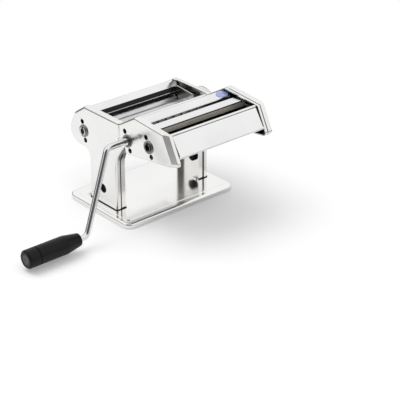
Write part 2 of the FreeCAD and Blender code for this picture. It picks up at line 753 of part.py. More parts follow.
def make_knob():
    post_end = knob_end - size.post_recess
    post_head = post_end - size.post_head
    web_start = knob_start + size.knob_web_depth
    web_end = web_start + size.knob_web
    turned("knob_post", knob_axis, [
        (plate_inner, post_head, size.post_radius), (post_head, post_end, size.post_head_radius)])
    ring = new_body("detent_ring")
    mouth = size.cam_radius + cam_gap + 2 * size.follower_radius + ring_play
    extrude(ring, "YZ_Plane", f"{half_width} mm", "Sizes.detent_sheet",
            [circle(0, 0, size.knob_radius - size.knob_cap_margin), circle(0, 0, mouth)])
    cut(ring, "YZ_Plane", f"{half_width + size.detent_floor} mm", "Sizes.detent_sheet",
        [circle(0, 0, size.detent_radius + size.detent_groove),
         circle(0, 0, size.detent_radius - size.detent_groove)])
    place(ring, (0, *knob_axis))

    cam = new_body("adjuster_cam")
    bore = size.post_radius + size.running_gap
    extrude(cam, "YZ_Plane", f"{half_width + size.lock_pin_gap} mm", f"{cam_width} mm",
            rounded(cam_outline()) + [circle(0, 0, bore)])
    hexagon = [(size.hub_radius * math.cos(math.radians(60 * i)),
                size.hub_radius * math.sin(math.radians(60 * i)), 0.0) for i in range(6)]
    hub_start = half_width + size.lock_pin_gap + cam_width
    extrude(cam, "YZ_Plane", f"{hub_start} mm", f"{web_end - hub_start} mm",
            rounded(hexagon) + [circle(0, 0, bore)])
    place(cam, (0, *knob_axis))

    inner = size.knob_radius - size.knob_wall
    cap_start = knob_end - size.knob_cap_depth
    collar = size.knob_collar
    step = size.knob_collar_step
    knob = turned("thickness_knob", knob_axis, [
        (knob_start, knob_start + collar, size.knob_radius),
        (knob_start + collar, knob_end - collar, size.knob_radius - step),
        (knob_end - collar, knob_end - collar / 3, size.knob_radius - 2 * step),
        (knob_end - collar / 3, knob_end, size.knob_radius - 3 * step)])
    cut(knob, "YZ_Plane", f"{knob_start - 1} mm", f"{web_start - knob_start + 1} mm",
        [circle(0, 0, inner)])
    cut(knob, "YZ_Plane", f"{web_end} mm", f"{knob_end - web_end + 1} mm",
        [circle(0, 0, inner - size.knob_cap_margin)])
    fit = hub_fit / math.cos(math.radians(30))
    socket = [(u * (1 + fit / size.hub_radius), v * (1 + fit / size.hub_radius), 0.0)
              for u, v, _ in hexagon]
    cut(knob, "YZ_Plane", f"{web_start - 1} mm", f"{web_end - web_start + 2} mm",
        rounded(socket))
    pin_place = (size.detent_radius * math.cos(lock_pin_angle),
                 size.detent_radius * math.sin(lock_pin_angle))
    cut(knob, "YZ_Plane", f"{web_start - 1} mm", f"{web_end - web_start + 2} mm",
        [circle(*pin_place, size.follower_radius)])
    turned("knob_lock_pin", (knob_axis[0] + pin_place[0], knob_axis[1] + pin_place[1]),
           [(half_width + size.detent_floor + size.lock_pin_gap, web_end, size.follower_radius)])
    turned("knob_cap", knob_axis, [(cap_start, knob_end, inner - size.knob_cap_margin)])

    spring = doc.addObject("Part::Feature", "knob_spring")
    spring.Label = "knob_spring"
    wire = size.spring_wire
    mean = size.post_radius + size.spring_gap + wire
    length = post_head - web_end - 2 * wire
    helix = Part.makeHelix(length / size.spring_coils, length, mean)
    profile = Part.Wire([Part.makeCircle(wire, Vector(mean, 0, 0), Vector(0, 1, 0))])
    spring.Shape = Part.Wire(helix.Edges).makePipeShell([profile], True, True)
    spring.Placement = Placement(Vector(web_end + wire, *knob_axis),
                                 Rotation(Vector(0, 1, 0), 90))
    parts.append(spring)


# ---------------------------------------------------------------- covers of the roller unit
def trim(body, low, high):
    """Cuts a sheet back to the clear width between the pans, inside a box in Y and Z."""
    for side in (-1, 1):
        depth = half_width - clear_half
        start = side_start(side, clear_half, depth)
        cut(body, "YZ_Plane", start, f"{depth} mm", box(*low, *high))


def wide_sheet(name, path, half):
    """A folded sheet between the side plates."""
    body = new_body(name)
    extrude(body, "YZ_Plane", f"{-half} mm", f"{2 * half} mm",
            rounded(folded(path, size.cover_sheet)))
    return body


lip_place, panel_place, guide_lip = above_axis([(30.0, 20.4), (35.0, 25.9), (2.5, 17.7)])
roller_rods = above_axis([(66.5, -4.6), (-24.0, 1.4), (-19.0, 21.7)])
guard_front = -4.8
guide_fold = 2.6
cover_return = 14.0
wiper_drop = 3.5
wiper_width = 2.0
wiper_grip = 4.0


def make_roller_covers():
    under = offset(roller_plate, size.plate_sheet)
    cover_path = [(*lip_place, 0), (*panel_place, 4), (under[5][0], under[5][1], 3), under[6],
                  under[7], (leg_rear + cover_return, under[7][1], 0)]
    wide_sheet("rear_cover", cover_path, cover_half)
    wiper = new_body("rear_wiper")
    length = math.dist(lip_place, panel_place)
    along = [(panel_place[i] - lip_place[i]) / length for i in (0, 1)]
    below = (lip_place[0] + along[1] * size.cover_sheet, lip_place[1] - along[0] * size.cover_sheet)
    wiper_foot = lip_place[1] - wiper_drop
    wiper_rear = lip_place[0] + wiper_width
    upper = [below[i] + wiper_grip * along[i] for i in (0, 1)]
    outline = [(lip_place[0] + 0.2, wiper_foot, 0), (*lip_place, 0), (*below, 0), (*upper, 0),
               (upper[0] + 0.6, upper[1] - 0.6, 0), (wiper_rear, lip_place[1] - 1.4, 1),
               (wiper_rear, wiper_foot, 0)]
    extrude(wiper, "YZ_Plane", f"{-clear_half} mm", f"{2 * clear_half} mm",
            rounded(outline))

    front = plate_front + size.plate_sheet
    top = plate_top - size.plate_sheet
    guide = wide_sheet("front_guide", [(front, rail_foot, 0), (front, top, 2),
                                       (front + guide_fold, top, 1), (*guide_lip, 0)], cover_half)
    trim(guide, (front + 6, guide_lip[1] - 4), (guide_lip[0] + 3, top + 2))
    trim(guide, (front - 1, rail_foot - 1), (front + 3, roller_seam[1][1] + 6))

    for side in (-1, 1):
        guard = new_body(f"dough_guard_{side_name(side)}")
        outline = above_axis([(guard_front, 25.0, 1), (29.4, 27.9, 1), (34.0, 24.8, 0)])
        outline.append((*lip_place, 0))
        outline += above_axis([(29.2, 14.9, 2), (26.0, 7.4, 2), (6.5, 9.9, 2)])
        outline += [(*guide_lip, 0), guide_point(guard_front)]
        extrude(guard, "YZ_Plane", side_start(side, clear_half, size.cover_sheet),
                "Sizes.cover_sheet", rounded(outline))

    scraper_path = [(drive_axis[0] - 5.6, drive_axis[1] - 15.8, 0),
                    (drive_axis[0] - 1.6, under[7][1] + 2 * size.cover_sheet, 1),
                    (drive_axis[0] + 12, under[7][1] + 2 * size.cover_sheet, 0)]
    wide_sheet("rear_scraper", scraper_path, clear_half - 0.2)
    rods = [rod("rod", f"{-plate_inner} mm", f"{2 * plate_inner} mm", "Sizes.tie_rod_radius", axis)
            for axis in roller_rods]
    group("roller_tie_rods", rods)


def guide_point(depth):
    """The corner of a guard where it meets the upper face of the front guide."""
    start = (plate_front + size.plate_sheet + guide_fold, plate_top - size.plate_sheet)
    share = (depth - start[0]) / (guide_lip[0] - start[0])
    return (depth, start[1] + (guide_lip[1] - start[1]) * share, 0)


# ---------------------------------------------------------------- rails and hooks
rail_back = plate_front + size.plate_sheet
rail_wall = 1.2
rail_cavity = 2.1
rail_front = rail_back - 2 * rail_wall - rail_cavity
lip_half = 3.9
rail_floor = 2.0
hook_clearance = 4.0
hook_bite = 0.4


def make_rails():
    rails = []
    for side in (-1, 1):
        middle = side * size.rail_offset
        half = size.rail_half_width
        body = doc.addObject("Part::Box", "rail_block")
        bind(body, Length="2 * Sizes.rail_half_width", Height="Sizes.rail_height")
        body.Width = rail_back - rail_front
        body.Placement = Placement(Vector(middle - half, rail_front, rail_foot), Rotation())
        channel = doc.addObject("Part::Box", "rail_channel")
        channel.Length = 2 * (half - rail_wall)
        channel.Width = rail_cavity
        channel.Height = size.rail_height
        channel.Placement = Placement(Vector(middle - half + rail_wall, rail_front + rail_wall,
                                             rail_foot + rail_floor), Rotation())
        mouth = doc.addObject("Part::Box", "rail_mouth")
        mouth.Length = 2 * lip_half
        mouth.Width = 2 * rail_wall
        mouth.Height = size.rail_height
        mouth.Placement = Placement(Vector(middle - lip_half, rail_front - rail_wall,
                                           rail_foot + rail_floor), Rotation())
        slots = doc.addObject("Part::MultiFuse", "rail_slots")
        slots.Shapes = [channel, mouth]
        rail = doc.addObject("Part::Cut", "rail")
        rail.Base = body
        rail.Tool = slots
        rails.append(rail)
    group("cutter_rails", rails)


def make_hooks():
    hooks = []
    head_half = size.rail_half_width - rail_wall - size.hook_gap
    stem_half = lip_half - size.hook_gap
    height = size.rail_height - hook_clearance
    foot = rail_foot + rail_floor
    for side in (-1, 1):
        middle = side * size.rail_offset
        head = doc.addObject("Part::Box", "hook_head")
        head.Length = 2 * head_half
        head.Width = rail_cavity - 2 * size.hook_gap
        head.Height = height
        head.Placement = Placement(
            Vector(middle - head_half, rail_front + rail_wall + size.hook_gap, foot), Rotation())
        stem = doc.addObject("Part::Box", "hook_stem")
        stem.Length = 2 * stem_half
        stem.Width = rail_front + rail_wall + size.hook_gap + hook_bite - cutter_back
        stem.Height = height
        stem.Placement = Placement(Vector(middle - stem_half, cutter_back, foot), Rotation())
        hook = doc.addObject("Part::MultiFuse", "hook")
        hook.Shapes = [head, stem]
        hooks.append(hook)
    group("cutter_hooks", hooks)


# ---------------------------------------------------------------- cutter unit
cutter_back = -38.3
cutter_plate = [
    *above_axis([(-151.3, 12.3, 0), (-131.8, 50.2, 0), (-66.6, 55.0, 5)]), *seam,
    *above_axis([(-45.6, -3.0, 3)]),
]
cover_foot = 1.4
far_pan_depth = size.plate_flange + size.far_pan_bulge
groove_inset = 3.4
groove_width = 1.4
groove_depth = 0.8
nose_radius = 5.0
flank_depth = 3.5
flank_width = 9.0


def make_cutter_plate(side):
    """An end pan of the cutter unit; the knob side's is drawn deeper and has a bead groove."""
    body = new_body(f"cutter_{side_name(side)}_plate")
    depth = far_pan_depth if side > 0 else size.plate_flange
    x_face = side * (plate_rim + depth)
    wall = size.plate_sheet
    corners = cutter_plate
    extrude(body, "YZ_Plane", side_start(side, plate_rim, depth), f"{depth} mm", rounded(corners))
    pad = body.Tip
    slope = [name for name in flat_edges(pad.Shape, x_face)
             if pad.Shape.getElement(name).BoundBox.YMax < corners[1][0] + 5
             and pad.Shape.getElement(name).BoundBox.ZLength > 20]
    flank = body.newObject("PartDesign::Chamfer", f"{body.Name}_flank")
    flank.Base = (pad, slope)
    flank.ChamferType = "Two distances"
    for first, second in ((flank_depth, flank_width), (flank_width, flank_depth)):
        flank.Size = first
        flank.Size2 = second
        doc.recompute()
        face_front = min(vertex.Y for vertex in flank.Shape.Vertexes
                         if abs(vertex.X - x_face) < 1e-3)
        if face_front > corners[0][0] + 0.8 * flank_width:
            break
    nose = [f"Edge{number}" for number, edge in enumerate(flank.Shape.Edges, start=1)
            if edge.BoundBox.ZMax < corners[0][1] + 3 and edge.BoundBox.YMax < corners[0][0] + 12
            and edge.BoundBox.XLength > 1]
    round_edges(body, nose, f"{nose_radius} mm")
    rim = flat_edges(body.Tip.Shape, x_face)
    round_edges(body, rim, "Sizes.plate_round - 1")
    inside = [(u, v, nose_radius if i == 0 else r) for i, (u, v, r) in enumerate(corners)]
    deep = [flank_width + 1] + [wall] * (len(corners) - 1)
    cut(body, "YZ_Plane", side_start(side, plate_rim, depth - wall), f"{depth - wall} mm",
        rounded(offset(inside, deep)))
    inner_depth = depth - flank_depth - wall
    cut(body, "YZ_Plane", side_start(side, plate_rim, inner_depth), f"{inner_depth} mm",
        rounded(offset(inside, wall)))
    if side < 0:
        holes = [circle(*cutter_rods[0], size.cutter_rod_radius)]
        for axis in (wide_axis, narrow_axis):
            holes += socket_holes(axis, cutter_motor_tilt, size.motor_hole_radius)
        cut(body, "YZ_Plane", side_start(side, plate_inner - 1, wall + 2), f"{wall + 2} mm", holes)
    else:
        cut(body, "YZ_Plane", f"{plate_rim + groove_inset} mm", f"{groove_width} mm",
            rounded(offset(corners, -1)) + rounded(offset(corners, groove_depth)))


*cover_hem, cover_lip = above_axis([(-138.5, 20.6), (-147.6, 21.7), (-129.0, 49.6)])
hem_share = 0.15
cutter_rods = above_axis([(-77.1, 33.1), (-55.5, 37.9), (-84.0, 10.9)])


def hem_rod():
    """The front rod, which lies on the folded hem of the front cover."""
    run = [cover_hem[1][i] - cover_hem[0][i] for i in (0, 1)]
    length = math.hypot(*run)
    above = (run[1] / length, -run[0] / length)
    reach = size.cover_sheet + size.cutter_rod_radius
    return [cover_hem[0][i] + hem_share * run[i] + above[i] * reach for i in (0, 1)]


peg_clearance = 0.6


def make_cutter_bearings():
    outline = above_axis([(-49.5, 2.0, 2), (-86.0, 7.3, 5), (-124.5, 12.6, 2), (-124.5, 41.9, 4),
                          (-50.0, 41.9, 4), (-41.0, 35.4, 3), (-41.0, 15.0, 2), (-49.5, 8.5, 2)])
    bore = size.idle_journal_radius + size.running_gap
    for side in (-1, 1):
        body = new_body(f"cutter_{side_name(side)}_bearing_plate")
        curves = rounded(outline)
        for axis in (wide_idle_axis, narrow_idle_axis):
            curves.append(circle(*axis, bore))
        for axis in (wide_axis, narrow_axis):
            curves += ([circle(*axis, size.bush_radius)] if side < 0 else [circle(*axis, bore)])
        for axis in cutter_rods:
            curves.append(circle(*axis, size.cutter_rod_radius))
        thickness = plate_inner - bearing_start
        start = side_start(side, bearing_start, thickness)
        extrude(body, "YZ_Plane", start, f"{thickness} mm", curves)
        if side < 0:
            peg_radius = size.motor_hole_radius + peg_clearance
            pegs = (socket_holes(wide_axis, cutter_motor_tilt, peg_radius)[1:]
                    + socket_holes(narrow_axis, cutter_motor_tilt, peg_radius)[1:])
            cut(body, "YZ_Plane", side_start(side, bearing_start - 1, thickness + 2),
                f"{thickness + 2} mm", pegs)
    bore = size.drive_journal_radius + size.running_gap
    bushes = []
    for number, axis in enumerate((wide_axis, narrow_axis)):
        bushes.append(turned(f"bush_{number}", axis, bush_steps(), bore))
        parts.pop()
    group("cutter_bushes", bushes)


def make_cutter_rods():
    rods = []
    far_end = plate_rim + far_pan_depth - size.plate_sheet
    for number, axis in enumerate(cutter_rods):
        start = half_width if number == 0 else plate_inner
        bar = rod("rod", f"{-start} mm", f"{start + far_end} mm",
                  "Sizes.cutter_rod_radius", axis)
        if number == 0:
            head = rod("head", f"{-half_width - size.rivet_head_height} mm",
                       "Sizes.rivet_head_height", "Sizes.rivet_head_radius", axis)
            riveted = doc.addObject("Part::MultiFuse", "riveted_rod")
            riveted.Shapes = [bar, head]
            bar = riveted
        rods.append(bar)
    flank_floor = half_width - flank_depth - size.plate_sheet
    rods.append(rod("rod", f"{-flank_floor} mm", f"{flank_floor + far_end - flank_depth} mm",
                    "Sizes.cutter_rod_radius", hem_rod()))
    group("cutter_tie_rods", rods)


def ringed(name, axis, ring, pitch, count, journal_steps):
    """A cutter roller: rings on a core, centred on the middle of the machine."""
    steps = []
    at = -roller_half
    for i in range(count):
        middle = (i - (count - 1) / 2) * pitch
        steps.append((at, middle - ring / 2, size.cutter_core))
        steps.append((middle - ring / 2, middle + ring / 2, size.cutter_radius))
        at = middle + ring / 2
    steps.append((at, roller_half, size.cutter_core))
    crank_end, journal = journal_steps
    steps.insert(0, (-crank_end, -roller_half, journal))
    steps.append((roller_half, bearing_end, size.idle_journal_radius))
    return turned(name, axis, steps)


ring_margin = 2.0


def make_cutters():
    pairs = (("wide", wide_axis, wide_idle_axis, size.wide_ring, size.wide_pitch),
             ("narrow", narrow_axis, narrow_idle_axis, size.narrow_ring, size.narrow_pitch))
    half_pitch = 180 / int(size.gear_teeth)
    for name, drive, idle, ring, pitch in pairs:
        room = 2 * roller_half - ring - ring_margin
        count = 2 * int(room / pitch / 2) + 1
        shaft = (shaft_end, size.drive_journal_radius)
        drive_cutter = ringed(f"{name}_drive_cutter", drive, ring, pitch, count, shaft)
        drive_shaft_end(drive_cutter, -size.crank_swing if name == "wide" else 0.0)
        shaft = (bearing_end, size.idle_journal_radius)
        ringed(f"{name}_idle_cutter", idle, ring, pitch, count - 1, shaft)
        module = size.cutter_gear_module
        gear(f"{name}_drive_gear", drive, module, size.cutter_spacing, 180)
        gear(f"{name}_idle_gear", idle, module, size.cutter_spacing, half_pitch)
        rear = comb(f"{name}_rear_comb", drive, 1, pitch, ring, count - 1)
        front = comb(f"{name}_front_comb", idle, -1, pitch, ring, count)
        group(f"{name}_combs", [rear, front])


wide_finger_room = 1.7
narrow_finger_room = 1.0


def comb(name, axis, lean, pitch, ring, fingers):
    """A stripping comb whose fingers lie in the grooves, on the side where the dough comes out."""
    body = new_body(name)
    parts.pop()
    width = pitch - ring - (wide_finger_room if name.startswith("wide") else narrow_finger_room)
    outline = [(-bearing_start, 0, 0), (-bearing_start, size.comb_bar, 0)]
    for i in range(fingers):
        middle = (i - (fingers - 1) / 2) * pitch
        outline += [(middle - width / 2, size.comb_bar, 0),
                    (middle - width / 2, size.comb_reach, 0),
                    (middle + width / 2, size.comb_reach, 0),
                    (middle + width / 2, size.comb_bar, 0)]
    outline += [(bearing_start, size.comb_bar, 0), (bearing_start, 0, 0)]
    start = "0 mm" if lean > 0 else "-Sizes.comb_sheet"
    extrude(body, "XY_Plane", start, "Sizes.comb_sheet", rounded(outline))
    angle = math.radians(size.comb_angle)
    radius = size.cutter_core + size.comb_gap
    out = (-lean * math.cos(angle), -math.sin(angle))
    down = (lean * math.sin(angle), -math.cos(angle))
    foot = (axis[0] + radius * out[0] + size.comb_reach * down[0],
            axis[1] + radius * out[1] + size.comb_reach * down[1])
    turn = 90 + size.comb_angle if lean > 0 else 90 - size.comb_angle
    place(body, (0, *foot), Vector(1, 0, 0), turn)
    return body


hem_clearance = 0.4
guide_start = 0.03
guide_share = 0.7


def make_cutter_covers():
    clear = plate_rim - hem_clearance
    wide_sheet("cutter_front_cover", [(*cover_hem[0], 0), (*cover_hem[1], 2), (*cover_lip, 1.5),
                                      (cover_lip[0] + 1.8, cover_lip[1] + 0.4, 0)], clear)
    run = [cover_lip[i] - cover_hem[1][i] for i in (0, 1)]
    length = math.hypot(*run)
    inward = (run[1] / length * size.cover_sheet, -run[0] / length * size.cover_sheet)
    top = [cover_lip[i] + inward[i] - guide_start * run[i] for i in (0, 1)]
    foot = [top[i] - guide_share * run[i] for i in (0, 1)]
    wide_sheet("cutter_front_guide",
               [(*foot, 0), (*top, 1.2), *above_axis([(-118.6, 36.6, 0)])], clear)
    wide_sheet("cutter_middle_guide", above_axis([
        (-103.0, 37.2, 0), (-103.0, 49.0, 0.6), (-88.8, 49.0, 0.8), (-66.4, 30.6, 0)]), cover_half)
    cover = wide_sheet("cutter_rear_cover", above_axis([
        (-58.3, 30.8, 0), (-76.3, 45.6, 1.6), (-62.0, 49.8, 2), (cutter_back, 36.0, 3),
        (cutter_back, cover_foot, 0)]), cover_half)
    narrow_from = size.roller_axis_height + cover_foot - 1
    narrow_to = size.roller_axis_height + cover_foot + 20
    trim(cover, (cutter_back - 3, narrow_from), (cutter_back + 1, narrow_to))


# ---------------------------------------------------------------- crank
pin_set = 0.3


def make_crank():
    body = new_body("crank_rod")
    tip = socket_floor + size.crank_tip_gap
    rod_end = grip_cap + size.crank_end_reach
    points = [(-tip, 0.0), (-crank_elbow, 0.0),
              (-crank_hand, -size.crank_throw), (-rod_end, -size.crank_throw)]
    path = new_sketch(body, "XZ_Plane", "0 mm", bent_path(points, size.elbow_radius))
    profile = new_sketch(body, "YZ_Plane", f"{-tip} mm",
                         [circle(0, 0, size.crank_rod_radius)])
    pipe = body.newObject("PartDesign::AdditivePipe", "crank_rod_pipe")
    pipe.Profile = profile
    pipe.Spine = path
    doc.recompute()
    pin_x = -shaft_end + size.slot_depth / 2 + pin_set
    cut(body, "XY_Plane", "-Sizes.crank_rod_radius - 1", "2 * Sizes.crank_rod_radius + 2",
        [circle(pin_x, 0, size.crank_pin_radius)])
    swing = Rotation(Vector(1, 0, 0), -size.crank_swing)
    body.Placement = Placement(Vector(0, *wide_axis), swing)

    pin = doc.addObject("Part::Cylinder", "crank_drive_pin")
    pin.Label = "crank_drive_pin"
    bind(pin, Radius="Sizes.crank_pin_radius", Height="Sizes.crank_pin_length")
    across = Placement(Vector(pin_x, 0, -size.crank_pin_length / 2), Rotation())
    pin.Placement = body.Placement.multiply(across)
    parts.append(pin)
    collar_end = -shaft_end - size.collar_gap
    collar = turned("crank_collar", wide_axis, [
        (collar_end - size.collar_length, collar_end, size.crank_rod_radius + size.collar_wall)],
        size.crank_rod_radius)
    collar.Placement = body.Placement

    hand = Placement(Vector(0, 0, -size.crank_throw), Rotation())
    hand_line = body.Placement.multiply(hand)
    width = size.grip_ring_width
    ring = size.crank_rod_radius + width
    rings = []
    ring_ends = (grip_start - size.grip_play, grip_cap + size.grip_play + width)
    for number, end in enumerate(ring_ends):
        rings.append(turned(f"ring_{number}", wide_axis, [(-end, width - end, ring)],
                            size.crank_rod_radius))
        rings[-1].Placement = hand_line
        parts.pop()
    group("grip_rings", rings)

    make_grip_sleeve(hand_line)
    cap = new_body("grip_end_cap")
    extrude(cap, "YZ_Plane", f"{-grip_end} mm", "Sizes.grip_cap_length",
            [circle(0, 0, size.grip_radius)])
    round_edges(cap, flat_edges(cap.Tip.Shape, -grip_end), "Sizes.grip_cap_round")
    cut(cap, "YZ_Plane", f"{-grip_end} mm", "Sizes.grip_disc_depth",
        [circle(0, 0, size.grip_disc_radius)])
    hollow = rod_end + width
    cut(cap, "YZ_Plane", f"{-hollow} mm", f"{hollow - grip_cap + 1} mm",
        [circle(0, 0, ring + 2 * size.grip_play)])
    cap.Placement = hand_line


def bent_path(points, radius):
    """Straight runs joined by arcs of one radius, along an open path."""
    curves = []
    at = Vector(*points[0], 0)
    for i in range(1, len(points) - 1):
        corner = Vector(*points[i], 0)
        back = (Vector(*points[i - 1], 0) - corner).normalize()
        ahead = (Vector(*points[i + 1], 0) - corner).normalize()
        half_angle = back.getAngle(ahead) / 2
        setback = radius / math.tan(half_angle)
        centre = corner + (back + ahead).normalize() * (radius / math.sin(half_angle))
        start = corner + back * setback
        end = corner + ahead * setback
        curves.append(Part.LineSegment(at, start))
        curves.append(Part.Arc(start, centre + (corner - centre).normalize() * radius, end))
        at = end
    curves.append(Part.LineSegment(at, Vector(*points[-1], 0)))
    return curves


def make_grip_sleeve(hand_line):
    """A cone from the neck to the full radius, then a cylinder with a groove beside the cap."""
    body = new_body("grip_sleeve")
    bore = size.crank_rod_radius + size.running_gap
    start = -grip_start
    full = start - size.grip_swell
    end = -grip_cap
    groove = end + size.grip_groove
    groove_floor = size.grip_radius - size.grip_groove_depth
    neck_point = Vector(start, size.grip_neck_radius, 0)
    full_point = Vector(full, size.grip_radius, 0)
    corners = [full_point, Vector(groove, size.grip_radius, 0), Vector(groove, groove_floor, 0),
               Vector(end, groove_floor, 0), Vector(end, bore, 0), Vector(start, bore, 0),
               neck_point]
    corners = [(corner.x, corner.y, 0.0) for corner in corners]
    corners[0] = (*corners[0][:2], size.grip_shoulder)
    corners[-1] = (*corners[-1][:2], size.grip_neck_round)
    curves = rounded(corners)
    revolution = body.newObject("PartDesign::Revolution", "grip_sleeve_turned")
    sketch = new_sketch(body, "XY_Plane", "0 mm", curves)
    revolution.Profile = sketch
    revolution.ReferenceAxis = (sketch, ["H_Axis"])
    revolution.Angle = 360.0
    doc.recompute()
    body.Placement = hand_line


# ---------------------------------------------------------------- build, check and write
make_base()
make_foot_rivets()
for machine_side in (-1, 1):
    make_roller_plate(machine_side)
    make_cutter_plate(machine_side)
make_rollers()
make_roller_bearings()
make_adjuster()
make_knob()
make_roller_covers()
make_rails()
make_hooks()
make_cutter_bearings()
make_cutter_rods()
make_cutters()
make_cutter_covers()
make_crank()
doc.recompute()

for item in doc.Objects:
    if "Invalid" in item.State or "Error" in item.State:
        raise RuntimeError(f"{item.Label}: {item.State}")
for part in parts:
    if part.Shape.isNull() or not part.Shape.isValid() or not part.Shape.Solids:
        raise RuntimeError(f"{part.Label}: the shape is not a valid solid")
for part in parts:
    part.Shape.exportStep(f"parts/{part.Label}.step")
print(len(parts), "parts written")
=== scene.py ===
import json
import math
import bmesh
import bpy
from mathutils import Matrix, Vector
from mathutils.bvhtree import BVHTree


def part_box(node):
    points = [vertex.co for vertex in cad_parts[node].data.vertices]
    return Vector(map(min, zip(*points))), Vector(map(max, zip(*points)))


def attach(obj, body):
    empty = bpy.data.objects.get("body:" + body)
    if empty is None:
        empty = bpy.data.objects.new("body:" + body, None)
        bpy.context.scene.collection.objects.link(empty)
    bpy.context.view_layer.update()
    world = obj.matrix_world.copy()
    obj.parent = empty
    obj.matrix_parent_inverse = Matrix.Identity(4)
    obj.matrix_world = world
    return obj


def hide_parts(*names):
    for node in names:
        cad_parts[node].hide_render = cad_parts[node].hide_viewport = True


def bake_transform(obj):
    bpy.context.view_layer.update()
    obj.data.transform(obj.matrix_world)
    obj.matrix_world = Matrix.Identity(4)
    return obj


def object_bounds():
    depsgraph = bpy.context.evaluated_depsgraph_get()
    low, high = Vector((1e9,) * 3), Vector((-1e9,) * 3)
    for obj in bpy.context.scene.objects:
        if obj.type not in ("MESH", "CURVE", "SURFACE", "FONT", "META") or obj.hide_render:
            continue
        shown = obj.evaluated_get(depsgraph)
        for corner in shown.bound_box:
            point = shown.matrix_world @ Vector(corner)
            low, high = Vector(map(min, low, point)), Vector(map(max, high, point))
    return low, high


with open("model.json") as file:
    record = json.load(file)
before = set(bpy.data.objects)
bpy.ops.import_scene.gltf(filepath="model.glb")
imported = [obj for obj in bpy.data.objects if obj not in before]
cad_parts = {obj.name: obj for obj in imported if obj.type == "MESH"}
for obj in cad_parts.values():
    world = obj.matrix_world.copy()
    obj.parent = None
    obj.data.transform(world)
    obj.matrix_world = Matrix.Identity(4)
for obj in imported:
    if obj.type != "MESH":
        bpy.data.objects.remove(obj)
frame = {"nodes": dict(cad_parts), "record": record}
nodes = frame["nodes"]
cad_low, cad_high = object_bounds()
MM = 0.001


# ------------------------------------------------------------------ shader kit
class Signal:
    """A node socket that takes part in Python sums; numbers stay numbers until they meet one."""

    def __init__(self, tree, socket):
        self.tree = tree
        self.socket = socket

    def combine(self, operation, first, second):
        node = self.tree.nodes.new("ShaderNodeMath")
        node.operation = operation
        feed(self.tree, node.inputs[0], first)
        feed(self.tree, node.inputs[1], second)
        return Signal(self.tree, node.outputs[0])

    def __add__(self, other):
        return self.combine("ADD", self, other)

    def __radd__(self, other):
        return self.combine("ADD", other, self)

    def __sub__(self, other):
        return self.combine("SUBTRACT", self, other)

    def __rsub__(self, other):
        return self.combine("SUBTRACT", other, self)

    def __mul__(self, other):
        return self.combine("MULTIPLY", self, other)

    def __rmul__(self, other):
        return self.combine("MULTIPLY", other, self)

    def clamped(self):
        return self.combine("MINIMUM", self.combine("MAXIMUM", self, 0.0), 1.0)


def feed(tree, socket, value):
    """Links a signal to a socket, or sets the socket's own number or colour."""
    if isinstance(value, Signal):
        tree.links.new(value.socket, socket)
    elif isinstance(value, (tuple, list)) and len(value) == 3 and socket.type == "RGBA":
        socket.default_value = (*value, 1.0)
    else:
        socket.default_value = value


class Tree:
    """A node tree that makes nodes from their type, settings and socket values."""

    def __init__(self, tree):
        self.tree = tree
        tree.nodes.clear()

    def node(self, kind, settings=None, stops=None, output=0, **sockets):
        """A key such as i2 is the socket's number, any other key is its name."""
        made = self.tree.nodes.new(kind)
        for name, value in (settings or {}).items():
            setattr(made, name, value)
        if stops:
            ramp = made.color_ramp
            while len(ramp.elements) < len(stops):
                ramp.elements.new(0.5)
            for element, (place, colour) in zip(ramp.elements, stops):
                element.position = place
                element.color = (*colour, 1.0)
        for name, value in sockets.items():
            key = int(name[1:]) if name[0] == "i" and name[1:].isdigit() else name.replace("_", " ")
            feed(self.tree, made.inputs[key], value)
        return Signal(self.tree, made.outputs[output])

    def place(self, scale=(1.0, 1.0, 1.0), turn=(0.0, 0.0, 0.0), shift=(0.0, 0.0, 0.0)):
        """Object coordinates, stretched, turned and moved."""
        coordinates = self.node("ShaderNodeTexCoord", output=3)
        return self.node("ShaderNodeMapping", Vector=coordinates, Location=shift, Rotation=turn,
                         Scale=scale)

    def noise(self, vector, scale, detail=3.0, roughness=0.55):
        return self.node("ShaderNodeTexNoise", Vector=vector, Scale=scale, Detail=detail,
                         Roughness=roughness)

    def mix(self, share, first, second):
        return self.node("ShaderNodeMix", {"data_type": "RGBA"}, output=2, i0=share, i6=first,
                         i7=second)

    def band(self, value, low, high, start=0.0, end=1.0):
        """Rises smoothly from start to end as value goes from low to high."""
        return self.node("ShaderNodeMapRange", {"interpolation_type": "SMOOTHSTEP"}, Value=value,
                         From_Min=low, From_Max=high, To_Min=start, To_Max=end)

    def hump(self, value, rise, fall):
        """Rises from 0 to 1 over the first range and falls back over the second."""
        return self.band(value, *rise) * self.band(value, *fall, 1.0, 0.0)

    def part(self, vector, axis):
        """One coordinate of a vector: 0 for X, 1 for Y, 2 for Z."""
        return self.node("ShaderNodeSeparateXYZ", Vector=vector, output=axis)

    def bump(self, height, strength, distance):
        return self.node("ShaderNodeBump", Height=height, Strength=strength, Distance=distance)

    def ray(self, kind):
        """1 for one kind of ray, 0 for the others."""
        path = self.tree.nodes.new("ShaderNodeLightPath")
        return Signal(self.tree, path.outputs[kind])

    def finish(self, shader, target="ShaderNodeOutputMaterial"):
        output = self.tree.nodes.new(target)
        self.tree.links.new(shader.socket, output.inputs["Surface"])


def new_material(name):
    material = bpy.data.materials.new(name)
    material.use_nodes = True
    return material, Tree(material.node_tree)


